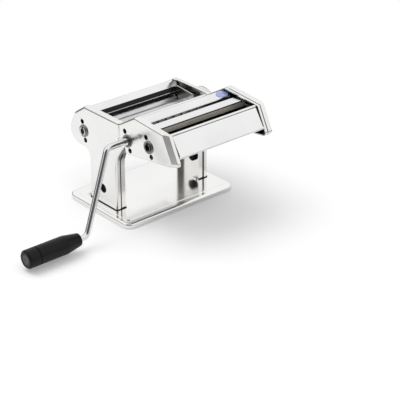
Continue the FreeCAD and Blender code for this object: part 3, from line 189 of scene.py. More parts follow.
# ------------------------------------------------------------------ finishes
def sheet_metal(name, tint, shade, gloss, grain=(1.0, 40.0, 40.0), grain_depth=0.02,
                smear=0.06):
    """Polished sheet: a faint rolled grain, soft smears and slow changes of tone."""
    material, tree = new_material(name)
    slow = tree.noise(tree.place(), 14.0, 2.0)
    fine = tree.noise(tree.place(grain), 60.0, 4.0, 0.6)
    smears = tree.band(tree.noise(tree.place((1.0, 3.0, 2.0), (0.4, 0.2, 0.7)), 30.0, 4.0),
                       0.45, 0.75)
    colour = tree.mix(tree.band(slow, 0.35, 0.7), tint, shade)
    rough = gloss + 0.05 * (fine - 0.5) + smear * smears
    metal = tree.node("ShaderNodeBsdfPrincipled", Base_Color=colour, Metallic=1.0,
                      Roughness=rough.clamped(), Normal=tree.bump(fine, grain_depth, 0.0002))
    tree.finish(metal)
    return material


def turned_metal(name, tint, shade, gloss, line_scale=900.0, depth=0.05):
    """Turned bar: fine tool lines round the axis, which runs along X."""
    material, tree = new_material(name)
    lines = tree.noise(tree.place((1.0, 0.02, 0.02)), line_scale, 3.0, 0.7)
    stain = tree.noise(tree.place(), 45.0, 3.0)
    colour = tree.mix(tree.band(stain, 0.4, 0.75), tint, shade)
    rough = gloss + 0.12 * (lines - 0.5) + 0.05 * stain
    metal = tree.node("ShaderNodeBsdfPrincipled", Base_Color=colour, Metallic=1.0,
                      Roughness=rough.clamped(), Normal=tree.bump(lines, depth, 0.0002))
    tree.finish(metal)
    return material


def zinc_metal(name, tint, shade):
    """Zinc plate: small spangles and a dull sheen."""
    material, tree = new_material(name)
    spangle = tree.node("ShaderNodeTexVoronoi", Vector=tree.place(), Scale=260.0)
    cloud = tree.noise(tree.place(), 70.0, 3.0)
    colour = tree.mix((0.5 * spangle + 0.6 * cloud).clamped(), tint, shade)
    metal = tree.node("ShaderNodeBsdfPrincipled", Base_Color=colour, Metallic=1.0,
                      Roughness=(0.30 + 0.25 * spangle).clamped(),
                      Normal=tree.bump(cloud, 0.06, 0.0003))
    tree.finish(metal)
    return material


def moulded_plastic(name, tint, shade, gloss, texture=2600.0, depth=0.12, coat=0.0, shine=0.5):
    """Moulded plastic: a fine eroded grain with polished high spots."""
    material, tree = new_material(name)
    grain = tree.noise(tree.place(), texture, 2.0, 0.6)
    wear = tree.band(tree.noise(tree.place((1.0, 2.0, 2.0)), 55.0, 4.0), 0.45, 0.8)
    colour = tree.mix(wear, tint, shade)
    plastic = tree.node("ShaderNodeBsdfPrincipled", Base_Color=colour,
                        Roughness=(gloss + 0.10 * (grain - 0.5) - 0.08 * wear).clamped(),
                        Specular_IOR_Level=shine, Coat_Weight=coat,
                        Normal=tree.bump(grain, depth, 0.0001))
    tree.finish(plastic)
    return material


WALL_TOP = 150.9 * MM
WALL_FOOT = 142.4 * MM
WALL_BACK = -102.0 * MM
LINE_WIDTH = 1.5 * MM
TOP_BLUR = 0.1 * MM
LINE_BLUR = 0.2 * MM
FOOT_BLUR = 0.3 * MM


def guide_metal():
    """Bright on its upper strip; the wall that goes down into the slot is dull and darker with
    painted shade, and has painted shadow lines along its top and over its foot.
    """
    material, tree = new_material("guide_metal")
    fine = tree.noise(tree.place((1.0, 40.0, 40.0)), 60.0, 4.0, 0.6)
    cloud = tree.noise(tree.place(), 25.0, 3.0)
    height = tree.part(tree.place(), 2)
    depth = tree.part(tree.place(), 1)
    wall = (tree.band(height, WALL_TOP - TOP_BLUR, WALL_TOP + TOP_BLUR, 1.0, 0.0)
            * tree.band(depth, WALL_BACK - LINE_BLUR, WALL_BACK + LINE_BLUR, 1.0, 0.0))
    upper = tree.band(height, WALL_TOP - LINE_WIDTH - LINE_BLUR, WALL_TOP - LINE_WIDTH)
    lower = tree.band(height, WALL_FOOT - FOOT_BLUR, WALL_FOOT + FOOT_BLUR, 1.0, 0.0)
    # painted shadow lines: black just below the top of the slot wall and over the wall below its
    # foot
    line = wall * (upper + lower)
    bright = tree.mix(cloud, (0.93, 0.93, 0.925), (0.88, 0.88, 0.88))
    # painted shade: the wall down into the slot gets a darker colour
    shaded_wall = tree.mix(cloud, (0.66, 0.64, 0.56), (0.56, 0.54, 0.47))
    colour = tree.mix(line, tree.mix(wall, bright, shaded_wall), (0.01, 0.01, 0.01))
    metal = tree.node("ShaderNodeBsdfPrincipled", Base_Color=colour, Metallic=1.0,
                      Roughness=(0.16 + 0.05 * (fine - 0.5) + 0.40 * wall).clamped(),
                      Normal=tree.bump(fine, 0.02, 0.0002))
    tree.finish(metal)
    return material


FINISHES = {
    "polished_steel": sheet_metal("polished_steel", (0.93, 0.93, 0.925), (0.88, 0.88, 0.88),
                                  0.16),
    "satin_plate": sheet_metal("satin_plate", (0.95, 0.945, 0.925), (0.91, 0.905, 0.89), 0.22,
                               (30.0, 1.0, 30.0), 0.03, 0.04),
    "chromed_bar": sheet_metal("chromed_bar", (0.88, 0.88, 0.89), (0.80, 0.80, 0.82), 0.07,
                               (8.0, 8.0, 8.0), 0.01, 0.03),
    "hard_steel": turned_metal("hard_steel", (0.40, 0.395, 0.385), (0.31, 0.305, 0.30), 0.28),
    "roller_alloy": turned_metal("roller_alloy", (0.74, 0.74, 0.75), (0.66, 0.66, 0.67), 0.30),
    "zinc": zinc_metal("zinc", (0.60, 0.60, 0.60), (0.46, 0.47, 0.48)),
    "white_nylon": moulded_plastic("white_nylon", (0.80, 0.80, 0.77), (0.74, 0.74, 0.71), 0.45,
                                   1200.0, 0.05),
    "black_plastic": moulded_plastic("black_plastic", (0.003, 0.003, 0.0035),
                                     (0.006, 0.006, 0.0065), 0.30, shine=0.22),
    "grey_plastic": moulded_plastic("grey_plastic", (0.004, 0.004, 0.0045),
                                    (0.007, 0.007, 0.0075), 0.34, shine=0.22),
    "foot_rubber": moulded_plastic("foot_rubber", (0.42, 0.42, 0.41), (0.34, 0.34, 0.33), 0.70,
                                   900.0, 0.2),
}
BADGE = moulded_plastic("lilac_enamel", (0.33, 0.38, 0.70), (0.42, 0.47, 0.76), 0.16, 300.0, 0.02,
                        1.0)
INK = moulded_plastic("number_ink", (0.02, 0.02, 0.022), (0.04, 0.04, 0.044), 0.5, 3000.0, 0.05)
CAP_DISC = moulded_plastic("cap_disc_grey", (0.060, 0.060, 0.062), (0.080, 0.080, 0.082), 0.45,
                           2000.0, 0.2)
# painted shade: a near-black, rough plastic for the painted shadow lines and the shade inside holes
SHADE_BLACK = moulded_plastic("painted_shade_black", (0.004, 0.004, 0.004), (0.007, 0.007, 0.007), 0.75,
                              1500.0, 0.1)
BASE_STEEL = sheet_metal("base_steel", (0.98, 0.975, 0.965), (0.95, 0.945, 0.935), 0.12,
                         (30.0, 2.0, 30.0), 0.02, 0.04)
GUARD_STEEL = sheet_metal("guard_steel", (0.70, 0.70, 0.68), (0.56, 0.56, 0.55), 0.24)
BUSH_STEEL = turned_metal("bush_steel", (0.27, 0.27, 0.262), (0.20, 0.20, 0.195), 0.26)
# painted shade: the cutters and combs get a very dark steel colour that stands for the shade deep
# in the cutter slots
CUTTER_STEEL_SHADE = turned_metal("cutter_steel_painted_shade", (0.20, 0.20, 0.19), (0.13, 0.13, 0.125), 0.34)
OWN_FINISH = {
    "base_plate": BASE_STEEL, "dough_guard_crank": GUARD_STEEL, "dough_guard_knob": GUARD_STEEL,
    "cutter_middle_guide": guide_metal(), "narrow_drive_cutter": CUTTER_STEEL_SHADE,
    "narrow_idle_cutter": CUTTER_STEEL_SHADE, "narrow_combs": CUTTER_STEEL_SHADE,
    "roller_bush": BUSH_STEEL, "cutter_bushes": BUSH_STEEL,
}
slot_of = {entry["node"]: entry["material_slot"] for entry in frame["record"]["subparts"]}
for node_name, obj in nodes.items():
    obj.data.materials.clear()
    obj.data.materials.append(OWN_FINISH.get(node_name, FINISHES[slot_of[node_name]]))


# ------------------------------------------------------------------ piece kit
MERGE_DISTANCE = 1e-7
AHEAD = 50.0 * MM
ENDS = ((-1, "crank"), (1, "knob"))


def add_piece(name, mesh, material, body):
    """A piece whose place is in its mesh, riding on a body, or left in place on no body when not
    given a body's name.
    """
    mesh.name = name
    mesh.materials.clear()
    mesh.materials.append(material)
    piece = bpy.data.objects.new(name, mesh)
    bpy.context.scene.collection.objects.link(piece)
    if isinstance(body, str):
        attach(piece, body)
    else:
        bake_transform(piece)
    return piece


def mesh_from(name, points, faces, smooth=True):
    """A mesh with its doubled points merged and its faces turned outwards."""
    mesh = bpy.data.meshes.new(name)
    mesh.from_pydata([tuple(point) for point in points], [], faces)
    work = bmesh.new()
    work.from_mesh(mesh)
    bmesh.ops.remove_doubles(work, verts=work.verts, dist=MERGE_DISTANCE)
    bmesh.ops.recalc_face_normals(work, faces=work.faces)
    work.to_mesh(mesh)
    work.free()
    for polygon in mesh.polygons:
        polygon.use_smooth = smooth
    return mesh


def surface(node, start, direction):
    """Where a ray first meets a CAD node, and the node's outward normal there."""
    mesh = nodes[node].data
    solid = BVHTree.FromPolygons([vertex.co for vertex in mesh.vertices],
                                 [polygon.vertices for polygon in mesh.polygons])
    place, normal, _, _ = solid.ray_cast(Vector(start), Vector(direction))
    return place, normal


def middle(node):
    """The middle of a node's box."""
    low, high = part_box(node)
    return (low + high) / 2


def links(points, first=0):
    """The edges that join a run of points, the first of which has the given number."""
    return [(first + i, first + i + 1) for i in range(len(points) - 1)]


def turned_mesh(name, profile, centre, sides=48):
    """A closed profile of (x, radius) points, turned about a line along X through centre."""
    points = []
    faces = []
    count = len(profile)
    for side in range(sides):
        angle = 2 * math.pi * side / sides
        for x, radius in profile:
            points.append((centre[0] + x, centre[1] + radius * math.cos(angle),
                           centre[2] + radius * math.sin(angle)))
        ahead = (side + 1) % sides
        for i in range(count):
            after = (i + 1) % count
            faces.append((side * count + i, side * count + after, ahead * count + after,
                          ahead * count + i))
    return mesh_from(name, points, faces)


# ------------------------------------------------------------------ geometry node trees
def new_growth(name, inputs):
    """An empty Geometry Nodes tree with named inputs, its kit, and the inputs' identifiers."""
    group = bpy.data.node_groups.new(name, "GeometryNodeTree")
    keys = {}
    for label, kind in inputs:
        keys[label] = group.interface.new_socket(name=label, in_out="INPUT",
                                                 socket_type=kind).identifier
    group.interface.new_socket(name="Geometry", in_out="OUTPUT",
                               socket_type="NodeSocketGeometry")
    kit = Tree(group)
    entry = group.nodes.new("NodeGroupInput")
    values = {label: Signal(group, entry.outputs[label]) for label, _ in inputs}
    return group, kit, values, keys


def finish_growth(kit, shape, material):
    """Makes instances real, gives them their material and hands them out of the tree."""
    real = kit.node("GeometryNodeRealizeInstances", Geometry=shape)
    dressed = kit.node("GeometryNodeSetMaterial", Geometry=real, Material=material)
    leave = kit.tree.nodes.new("NodeGroupOutput")
    kit.tree.links.new(dressed.socket, leave.inputs[0])


BAR_SIDES = 10
BAR_TIP = 0.35
BEAD_SIDES = 16
SEAM_SIDES = 12


def bars_round_axis():
    """Round bars with a coned end, half sunk in a drum whose axis runs along X."""
    group, kit, value, keys = new_growth("bars_round_axis", [
        ("count", "NodeSocketInt"), ("drum radius", "NodeSocketFloat"),
        ("bar radius", "NodeSocketFloat"), ("bar length", "NodeSocketFloat"),
        ("start", "NodeSocketVector"), ("material", "NodeSocketMaterial")])
    half_length = 0.5 * value["bar length"]
    straight = kit.node("GeometryNodeMeshCylinder", Vertices=BAR_SIDES,
                        Radius=value["bar radius"], Depth=value["bar length"])
    tip = kit.node("GeometryNodeMeshCone", Vertices=BAR_SIDES,
                   Radius_Top=BAR_TIP * value["bar radius"],
                   Radius_Bottom=value["bar radius"], Depth=value["bar radius"])
    lift = kit.node("ShaderNodeCombineXYZ", Z=half_length)
    tip = kit.node("GeometryNodeTransform", Geometry=tip, Translation=lift)
    bar = kit.tree.nodes.new("GeometryNodeJoinGeometry")
    kit.tree.links.new(tip.socket, bar.inputs[0])
    kit.tree.links.new(straight.socket, bar.inputs[0])
    drum = kit.node("GeometryNodeMeshCircle", Vertices=value["count"],
                    Radius=value["drum radius"])
    copies = kit.node("GeometryNodeInstanceOnPoints", Points=drum,
                      Instance=Signal(group, bar.outputs[0]))
    turned = kit.node("GeometryNodeTransform", Geometry=copies,
                      Rotation=(0.0, math.pi / 2, 0.0))
    middle_of_bar = kit.node("ShaderNodeCombineXYZ", X=half_length)
    place = kit.node("ShaderNodeVectorMath", {"operation": "ADD"}, i0=value["start"],
                     i1=middle_of_bar)
    moved = kit.node("GeometryNodeTransform", Geometry=turned, Translation=place)
    finish_growth(kit, moved, value["material"])
    return group, keys


def bead_between():
    """A round bead from one point to another, with closed ends."""
    group, kit, value, keys = new_growth("bead_between", [
        ("start", "NodeSocketVector"), ("end", "NodeSocketVector"),
        ("radius", "NodeSocketFloat"), ("material", "NodeSocketMaterial")])
    line = kit.node("GeometryNodeCurvePrimitiveLine", Start=value["start"], End=value["end"])
    section = kit.node("GeometryNodeCurvePrimitiveCircle", Resolution=BEAD_SIDES,
                       Radius=value["radius"])
    bead = kit.node("GeometryNodeCurveToMesh", Curve=line, Profile_Curve=section,
                    Fill_Caps=True)
    finish_growth(kit, bead, value["material"])
    return group, keys


def bead_along():
    """A round bead that follows the carrier's chain of points, with closed ends."""
    group, kit, value, keys = new_growth("bead_along", [
        ("Geometry", "NodeSocketGeometry"), ("radius", "NodeSocketFloat"),
        ("material", "NodeSocketMaterial")])
    path = kit.node("GeometryNodeMeshToCurve", Mesh=value["Geometry"])
    section = kit.node("GeometryNodeCurvePrimitiveCircle", Resolution=SEAM_SIDES,
                       Radius=value["radius"])
    bead = kit.node("GeometryNodeCurveToMesh", Curve=path, Profile_Curve=section,
                    Fill_Caps=True)
    finish_growth(kit, bead, value["material"])
    return group, keys


def copies_on_points():
    """A copy of one part on every point of the carrier."""
    group, kit, value, keys = new_growth("copies_on_points", [
        ("Geometry", "NodeSocketGeometry"), ("part", "NodeSocketObject"),
        ("material", "NodeSocketMaterial")])
    part = kit.node("GeometryNodeObjectInfo", Object=value["part"], output=4)
    copies = kit.node("GeometryNodeInstanceOnPoints", Points=value["Geometry"], Instance=part)
    finish_growth(kit, copies, value["material"])
    return group, keys


def grow(name, growth, inputs, material, body, points=(), chains=()):
    """Runs a tree on a carrier of points and keeps the result as a plain mesh on a body."""
    group, keys = growth
    mesh = bpy.data.meshes.new(name)
    mesh.from_pydata([tuple(point) for point in points], chains, [])
    carrier = bpy.data.objects.new(name, mesh)
    bpy.context.scene.collection.objects.link(carrier)
    modifier = carrier.modifiers.new(name, "NODES")
    modifier.node_group = group
    for label, value in {**inputs, "material": material}.items():
        modifier[keys[label]] = value
    graph = bpy.context.evaluated_depsgraph_get()
    grown = bpy.data.meshes.new_from_object(carrier.evaluated_get(graph))
    bpy.data.objects.remove(carrier)
    for polygon in grown.polygons:
        polygon.use_smooth = True
    return add_piece(name, grown, material, body)


BARS = bars_round_axis()
BEAD = bead_between()
SEAM = bead_along()
COPIES = copies_on_points()


# ------------------------------------------------------------------ thickness knob
KNOB_COLLAR = 3.0 * MM
KNOB_STEP = 0.8 * MM
RIB_COUNT = 44
RIB_RADIUS = 0.72 * MM
RIB_LENGTH = 9.2 * MM
NUMBER_COUNT = 10
NUMBER_SIZE = 6.4 * MM
NUMBER_DEPTH = 0.12 * MM
NUMBER_MARGIN = 0.8 * MM
NUMBER_STEP = math.radians(30)
NUMBER_SMOOTHNESS = 3


def make_knob_trim():
    """Grip ribs on the outer half of the knob and the numbers 0 to 9 on its inner half."""
    low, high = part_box("thickness_knob")
    centre = middle("thickness_knob")
    drum = (high.z - low.z) / 2 - KNOB_STEP
    end = high.x - KNOB_COLLAR - RIB_RADIUS
    grow("knob_ribs", BARS, {
        "count": RIB_COUNT, "drum radius": drum, "bar radius": RIB_RADIUS,
        "bar length": RIB_LENGTH, "start": (end - RIB_LENGTH, centre.y, centre.z)},
        FINISHES[slot_of["thickness_knob"]], "knob")
    points = []
    faces = []
    first = low.x + KNOB_COLLAR + NUMBER_MARGIN
    for number in range(NUMBER_COUNT):
        corners, flats = number_mesh(str(number))
        turn = math.pi / 2 - NUMBER_STEP * number
        shift = len(points)
        for u, v, w in corners:
            angle = turn + u / drum
            reach = drum + w
            points.append((first + v, centre.y + reach * math.cos(angle),
                           centre.z + reach * math.sin(angle)))
        faces += [tuple(index + shift for index in flat) for flat in flats]
    add_piece("knob_numbers", mesh_from("knob_numbers", points, faces, False), INK, "knob")


def number_mesh(text):
    """The points and faces of one solid digit, centred in width, standing on zero."""
    curve = bpy.data.curves.new("digit", "FONT")
    curve.body = text
    curve.size = NUMBER_SIZE
    curve.align_x = "CENTER"
    curve.extrude = NUMBER_DEPTH
    curve.resolution_u = NUMBER_SMOOTHNESS
    digit = bpy.data.objects.new("digit", curve)
    bpy.context.scene.collection.objects.link(digit)
    graph = bpy.context.evaluated_depsgraph_get()
    mesh = bpy.data.meshes.new_from_object(digit.evaluated_get(graph))
    points = [tuple(vertex.co) for vertex in mesh.vertices]
    faces = [tuple(polygon.vertices) for polygon in mesh.polygons]
    bpy.data.objects.remove(digit)
    bpy.data.meshes.remove(mesh)
    return points, faces


WIRE_RADIUS = 0.5 * MM
SPRING_COILS = 4
STEPS_PER_COIL = 28


def make_spring():
    """The wound spring of the knob, a coil of wire that takes the place of the CAD spring."""
    low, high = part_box("knob_spring")
    centre = middle("knob_spring")
    radius = (high.z - low.z) / 2 - WIRE_RADIUS
    start = low.x + WIRE_RADIUS
    pitch = (high.x - low.x - 2 * WIRE_RADIUS) / SPRING_COILS
    points = []
    for step in range(SPRING_COILS * STEPS_PER_COIL + 1):
        angle = 2 * math.pi * step / STEPS_PER_COIL
        points.append((start + pitch * step / STEPS_PER_COIL,
                       centre.y + radius * math.cos(angle), centre.z + radius * math.sin(angle)))
    travel = ("knob", "knob_cam", (low.x, centre.y, centre.z), (high.x, centre.y, centre.z))
    spring = grow("wound_spring", SEAM, {"radius": WIRE_RADIUS}, FINISHES["chromed_bar"], travel,
                  points, links(points))
    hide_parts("knob_spring")


POINTER_GAP = 1.8 * MM
POINTER_HEIGHT = 4.2 * MM
POINTER_HALF_WIDTH = 1.9 * MM
PRINT_DEPTH = 0.1 * MM


def make_pointer():
    """The printed triangle on the side plate that the knob's numbers are read against."""
    low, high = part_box("thickness_knob")
    centre = middle("thickness_knob")
    tip = (high.z - low.z) / 2 + POINTER_GAP
    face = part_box("knob_side_plate")[1].x
    top = tip + POINTER_HEIGHT
    corners = [(0.0, tip), (POINTER_HALF_WIDTH, top), (-POINTER_HALF_WIDTH, top)]
    points = [(x, centre.y + u, centre.z + v) for x in (face - PRINT_DEPTH, face + PRINT_DEPTH)
              for u, v in corners]
    faces = [(0, 1, 2), (3, 4, 5), (0, 1, 4, 3), (1, 2, 5, 4), (2, 0, 3, 5)]
    add_piece("knob_pointer", mesh_from("knob_pointer", points, faces, False), INK, "root")


# ------------------------------------------------------------------ badge on the cutter cover
BADGE_HALF_LENGTH = 9.6 * MM
BADGE_HALF_WIDTH = 6.6 * MM
BADGE_HEIGHT = 0.9 * MM
BADGE_X = 66.8 * MM
BADGE_Y = -68.3 * MM
BADGE_SIDES = 56
BADGE_RINGS = ((1.0, -0.05), (1.0, 0.35), (0.975, 0.6), (0.93, 0.7), (0.6, 0.92), (0.25, 0.99))


def make_badge():
    """A bare oval enamel badge with a low dome, on the strip behind the middle slot."""
    above = (BADGE_X, BADGE_Y, cad_high.z + AHEAD)
    place, normal = surface("cutter_rear_cover", above, (0, 0, -1))
    along = Vector((1, 0, 0))
    across = normal.cross(along)
    sides = BADGE_SIDES
    points = [place + normal * (height * BADGE_HEIGHT)
              + along * (BADGE_HALF_LENGTH * share * math.cos(2 * math.pi * i / sides))
              + across * (BADGE_HALF_WIDTH * share * math.sin(2 * math.pi * i / sides))
              for share, height in BADGE_RINGS for i in range(sides)]
    faces = [(ring * sides + i, ring * sides + (i + 1) % sides,
              (ring + 1) * sides + (i + 1) % sides, (ring + 1) * sides + i)
             for ring in range(len(BADGE_RINGS) - 1) for i in range(sides)]
    points += [place + normal * (BADGE_RINGS[0][1] * BADGE_HEIGHT), place + normal * BADGE_HEIGHT]
    last = (len(BADGE_RINGS) - 1) * sides
    faces += [((i + 1) % sides, i, len(points) - 2) for i in range(sides)]
    faces += [(last + i, last + (i + 1) % sides, len(points) - 1) for i in range(sides)]
    add_piece("cover_badge", mesh_from("cover_badge", points, faces), BADGE, "cutter_unit")


# ------------------------------------------------------------------ rolled lips
LIP_RADIUS = 0.6 * MM
BEAD_DROP = 1.0 * MM
BEAD_SINK = 0.45
BEAD_SHADOW_DROP = 2.0 * MM
BEAD_SHADOW_SINK = 0.7


def make_lip_beads():
    """The rolled bead below the lip of the cutter's front cover, and a painted shadow line under
    it.
    """
    low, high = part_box("cutter_front_cover")
    for name, drop, sink, material in (
            ("front_cover_bead", BEAD_DROP, BEAD_SINK, FINISHES["polished_steel"]),
            # painted shadow: a dark line under the bead
            ("front_cover_crease", BEAD_SHADOW_DROP, BEAD_SHADOW_SINK, SHADE_BLACK)):
        before = (0.0, low.y - AHEAD, high.z - drop)
        place, normal = surface("cutter_front_cover", before, (0, 1, 0))
        centre = place - normal * (sink * LIP_RADIUS)
        grow(name, BEAD, {
            "start": (low.x + LIP_RADIUS, centre.y, centre.z),
            "end": (high.x - LIP_RADIUS, centre.y, centre.z), "radius": LIP_RADIUS},
            material, "cutter_unit")


# ------------------------------------------------------------------ black strip on the rear cover's lip
FACING_ENDS = (-64.0 * MM, 71.2 * MM)
FACING_LOW = 123.4 * MM
FACING_HIGH = 128.3 * MM
FACING_THICKNESS = 0.6 * MM
FACING_SINK = 0.1 * MM
SLOT_MIDDLE = -10.0 * MM


def make_wiper_facing():
    """A black strip on the bent lip of the rear cover, above the rear roller."""
    foot, normal = surface("rear_cover", (0.0, SLOT_MIDDLE, FACING_LOW), (0, 1, 0))
    top, _ = surface("rear_cover", (0.0, SLOT_MIDDLE, FACING_HIGH), (0, 1, 0))
    section = [foot - normal * FACING_SINK, foot + normal * FACING_THICKNESS,
               top + normal * FACING_THICKNESS, top - normal * FACING_SINK]
    points = [(x, corner.y, corner.z) for x in FACING_ENDS for corner in section]
    faces = [(0, 1, 2, 3), (4, 5, 6, 7)]
    faces += [(0, 1, 5, 4), (1, 2, 6, 5), (2, 3, 7, 6), (3, 0, 4, 7)]
    add_piece("wiper_facing", mesh_from("wiper_facing", points, faces, False),
              FINISHES["black_plastic"], "root")


# ------------------------------------------------------------------ painted shadow lines in the gaps of the legs and pans
SHADOW_BEAD_RADIUS = 0.75 * MM
SHADOW_BEAD_SINK = 0.15 * MM


def seam(name, node, paths, body, radius=SHADOW_BEAD_RADIUS):
    """Painted shadow lines: dark beads where rays, given as chains of (start, direction), meet a
    CAD node.
    """
    points = []
    chains = []
    for rays in paths:
        hits = [surface(node, start, direction) for start, direction in rays]
        hits = [place - normal * SHADOW_BEAD_SINK for place, normal in hits if place]
        chains += links(hits, len(points))
        points += hits
    grow(name, SEAM, {"radius": radius}, SHADE_BLACK, body, points, chains)


LEG_GAP_X = 72.3 * MM
LEG_GAP_HEIGHTS = (10.0 * MM, 30.0 * MM, 50.0 * MM, 66.0 * MM)
LEG_ARC = (-57.0 * MM, 72.1 * MM)
LEG_TURN = math.radians(37)
LEG_ARC_STEPS = 10


def make_leg_seams():
    """Painted shadow in the gaps between the legs' flanges and the strips that line them, from foot
    to nose.
    """
    for side, node in ENDS:
        x = side * LEG_GAP_X
        rays = [((x, LEG_ARC[0], z), (0, 1, 0)) for z in LEG_GAP_HEIGHTS]
        for step in range(LEG_ARC_STEPS + 1):
            angle = LEG_TURN * step / LEG_ARC_STEPS
            rays.append(((x, *LEG_ARC), (0, math.cos(angle), math.sin(angle))))
        seam(f"{node}_leg_seam", f"{node}_side_plate", [rays], "root")


PAN_NOSE = (-150.6 * MM, 116.3 * MM)
PAN_BROW = (-131.8 * MM, 152.8 * MM)
PAN_BACK = (-69.5 * MM, 157.4 * MM)
PAN_STEPS = 10
PAN_MARGIN = 0.03
PAN_REACH = 6.0 * MM
GROOVE_SHADOW_X = 76.1 * MM
GROOVE_SHADOW_RADIUS = 0.8 * MM
COVER_END = 71.0 * MM


def pan_rays(x, corners):
    """Rays from outside onto the edge of a cutter pan, along an outline of (y, z) corners."""
    rays = []
    for (y0, z0), (y1, z1) in zip(corners, corners[1:]):
        length = math.hypot(y1 - y0, z1 - z0)
        out = (-(z1 - z0) / length, (y1 - y0) / length)
        for step in range(PAN_STEPS + 1):
            share = PAN_MARGIN + (1.0 - 2 * PAN_MARGIN) * step / PAN_STEPS
            y = y0 + (y1 - y0) * share + PAN_REACH * out[0]
            z = z0 + (z1 - z0) * share + PAN_REACH * out[1]
            rays.append(((x, y, z), (0, -out[0], -out[1])))
    return rays


def make_pan_seams():
    """Painted shadow: a dark line in the groove of the far pan, and dark lines in the gaps at both
    ends of the front cover.
    """
    seam("far_pan_ring", "cutter_knob_plate", [pan_rays(GROOVE_SHADOW_X, [PAN_NOSE, PAN_BROW, PAN_BACK])],
         "cutter_unit", GROOVE_SHADOW_RADIUS)
    seam("cover_end_seals", "cutter_front_cover",
         [pan_rays(x, [PAN_NOSE, PAN_BROW]) for x in (-COVER_END, COVER_END)],
         "cutter_unit")


# ------------------------------------------------------------------ guard edges
EDGE_RADIUS = 0.9 * MM
EDGE_INSET = 0.4 * MM
EDGE_START = 1.5 * MM
EDGE_END = 29.0 * MM
EDGE_RISE = Vector((0.0, 0.0, 0.2 * MM))
EDGE_STEPS = 6


def make_guard_edges():
    """Bright rolled edges along the tops of the dough guards, at both ends of the rollers."""
    for side, end in ENDS:
        node = f"dough_guard_{end}"
        low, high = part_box(node)
        x = high.x - EDGE_INSET if side < 0 else low.x + EDGE_INSET
        first = low.y + EDGE_START
        steps = [first + (EDGE_END - first) * i / EDGE_STEPS for i in range(EDGE_STEPS + 1)]
        hits = [surface(node, (x, y, high.z + AHEAD), (0, 0, -1)) for y in steps]
        points = [place + EDGE_RISE for place, _ in hits if place]
        grow(f"{end}_guard_edge", SEAM, {"radius": EDGE_RADIUS}, FINISHES["polished_steel"],
             "root", points, links(points))


# ------------------------------------------------------------------ painted contact shadows at the legs' feet
FOOT_SHADOW_RADIUS = 1.0 * MM
LEG_FRONT = -25.0 * MM
LEG_REAR = 33.0 * MM
LEG_LINING = 64.5 * MM
LEG_ROUND = 3.2 * MM
LEG_ROUND_STEPS = 4
FOOT_SHADOW_END = MM
FOOT_SHADOW_RISE = 0.2 * MM


def make_gaskets():
    """Painted contact shadow: dark beads round the outside of the legs, where they stand on the
    base.
    """
    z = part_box("base_plate")[1].z + FOOT_SHADOW_RISE
    for side, node in ENDS:
        low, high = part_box(f"{node}_side_plate")
        face = low.x if side < 0 else high.x
        points = [(face, LEG_REAR - FOOT_SHADOW_END, z), (face, LEG_FRONT + LEG_ROUND, z)]
        for step in range(1, LEG_ROUND_STEPS):
            angle = math.pi / 2 * step / LEG_ROUND_STEPS
            points.append((face - side * LEG_ROUND * (1 - math.cos(angle)),
                           LEG_FRONT + LEG_ROUND * (1 - math.sin(angle)), z))
        points += [(face - side * LEG_ROUND, LEG_FRONT, z), (side * LEG_LINING, LEG_FRONT, z)]
        grow(f"{node}_leg_gasket", SEAM, {"radius": FOOT_SHADOW_RADIUS}, SHADE_BLACK, "root",
             points, links(points))


# ------------------------------------------------------------------ painted shade in the holes
SHADE_CUP_WALL = 0.5 * MM
SHADE_CUP_EYE = 0.02 * MM
SHADE_CUP_SIDES = 32
PEG_REACH = 13.0 * MM
PEG_DEPTH = 3.6 * MM
PEG_GAP = 0.1 * MM
ROLLER_PEG_CUP = 3.9 * MM
ROLLER_PEG_TILT = math.radians(13)
CUTTER_PEG_CUP = 4.3 * MM
CUTTER_PEG_TILT = math.radians(22.5)
CLAMP_CUP = 6.7 * MM
CLAMP_DEPTH = 2.5 * MM
CLAMP_SET = 1.6 * MM
CLAMP_PLACE = (4.0 * MM, 31.6 * MM)


def cup_mesh(name, radius, depth, towards):
    """A cup that opens towards the outside of a side plate, its mouth at the origin."""
    outer = radius + SHADE_CUP_WALL
    floor = towards * depth
    profile = [(0.0, radius), (0.0, outer), (floor + towards * SHADE_CUP_WALL, outer),
               (floor + towards * SHADE_CUP_WALL, SHADE_CUP_EYE), (floor, SHADE_CUP_EYE), (floor, radius)]
    return turned_mesh(name, profile, (0.0, 0.0, 0.0), SHADE_CUP_SIDES)


def line_holes(name, radius, depth, towards, places, body):
    """One dark cup behind each hole of a plate, as painted shade."""
    cup = bpy.data.objects.new("cup", cup_mesh("cup", radius, depth, towards))
    bpy.context.scene.collection.objects.link(cup)
    grow(name, COPIES, {"part": cup}, SHADE_BLACK, body, places)
    bpy.data.objects.remove(cup)


def peg_places(x, axis, tilt):
    """The two motor pegs' places, above and below a socket's axis."""
    step = (PEG_REACH * math.sin(tilt), PEG_REACH * math.cos(tilt))
    return [(x, axis.y + side * step[0], axis.z + side * step[1]) for side in (-1, 1)]


def make_linings():
    """Painted shade: dark cups behind the motor's peg holes and behind the clamp holes of the legs.
    """
    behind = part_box("adjuster_slide_crank")[1].x + PEG_GAP
    roller_pegs = peg_places(behind, middle("roller_bush"), ROLLER_PEG_TILT)
    line_holes("roller_peg_linings", ROLLER_PEG_CUP, PEG_DEPTH, 1, roller_pegs, "root")
    cutter_pegs = [place for gear in ("wide_drive_gear", "narrow_drive_gear")
                   for place in peg_places(behind, middle(gear), CUTTER_PEG_TILT)]
    line_holes("cutter_peg_linings", CUTTER_PEG_CUP, PEG_DEPTH, 1, cutter_pegs, "cutter_unit")
    for side, node in ENDS:
        low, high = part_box(f"{node}_side_plate")
        sheet = low.x + CLAMP_SET if side < 0 else high.x - CLAMP_SET
        line_holes(f"{node}_clamp_lining", CLAMP_CUP, CLAMP_DEPTH, -side,
                   [(sheet, *CLAMP_PLACE)], "root")


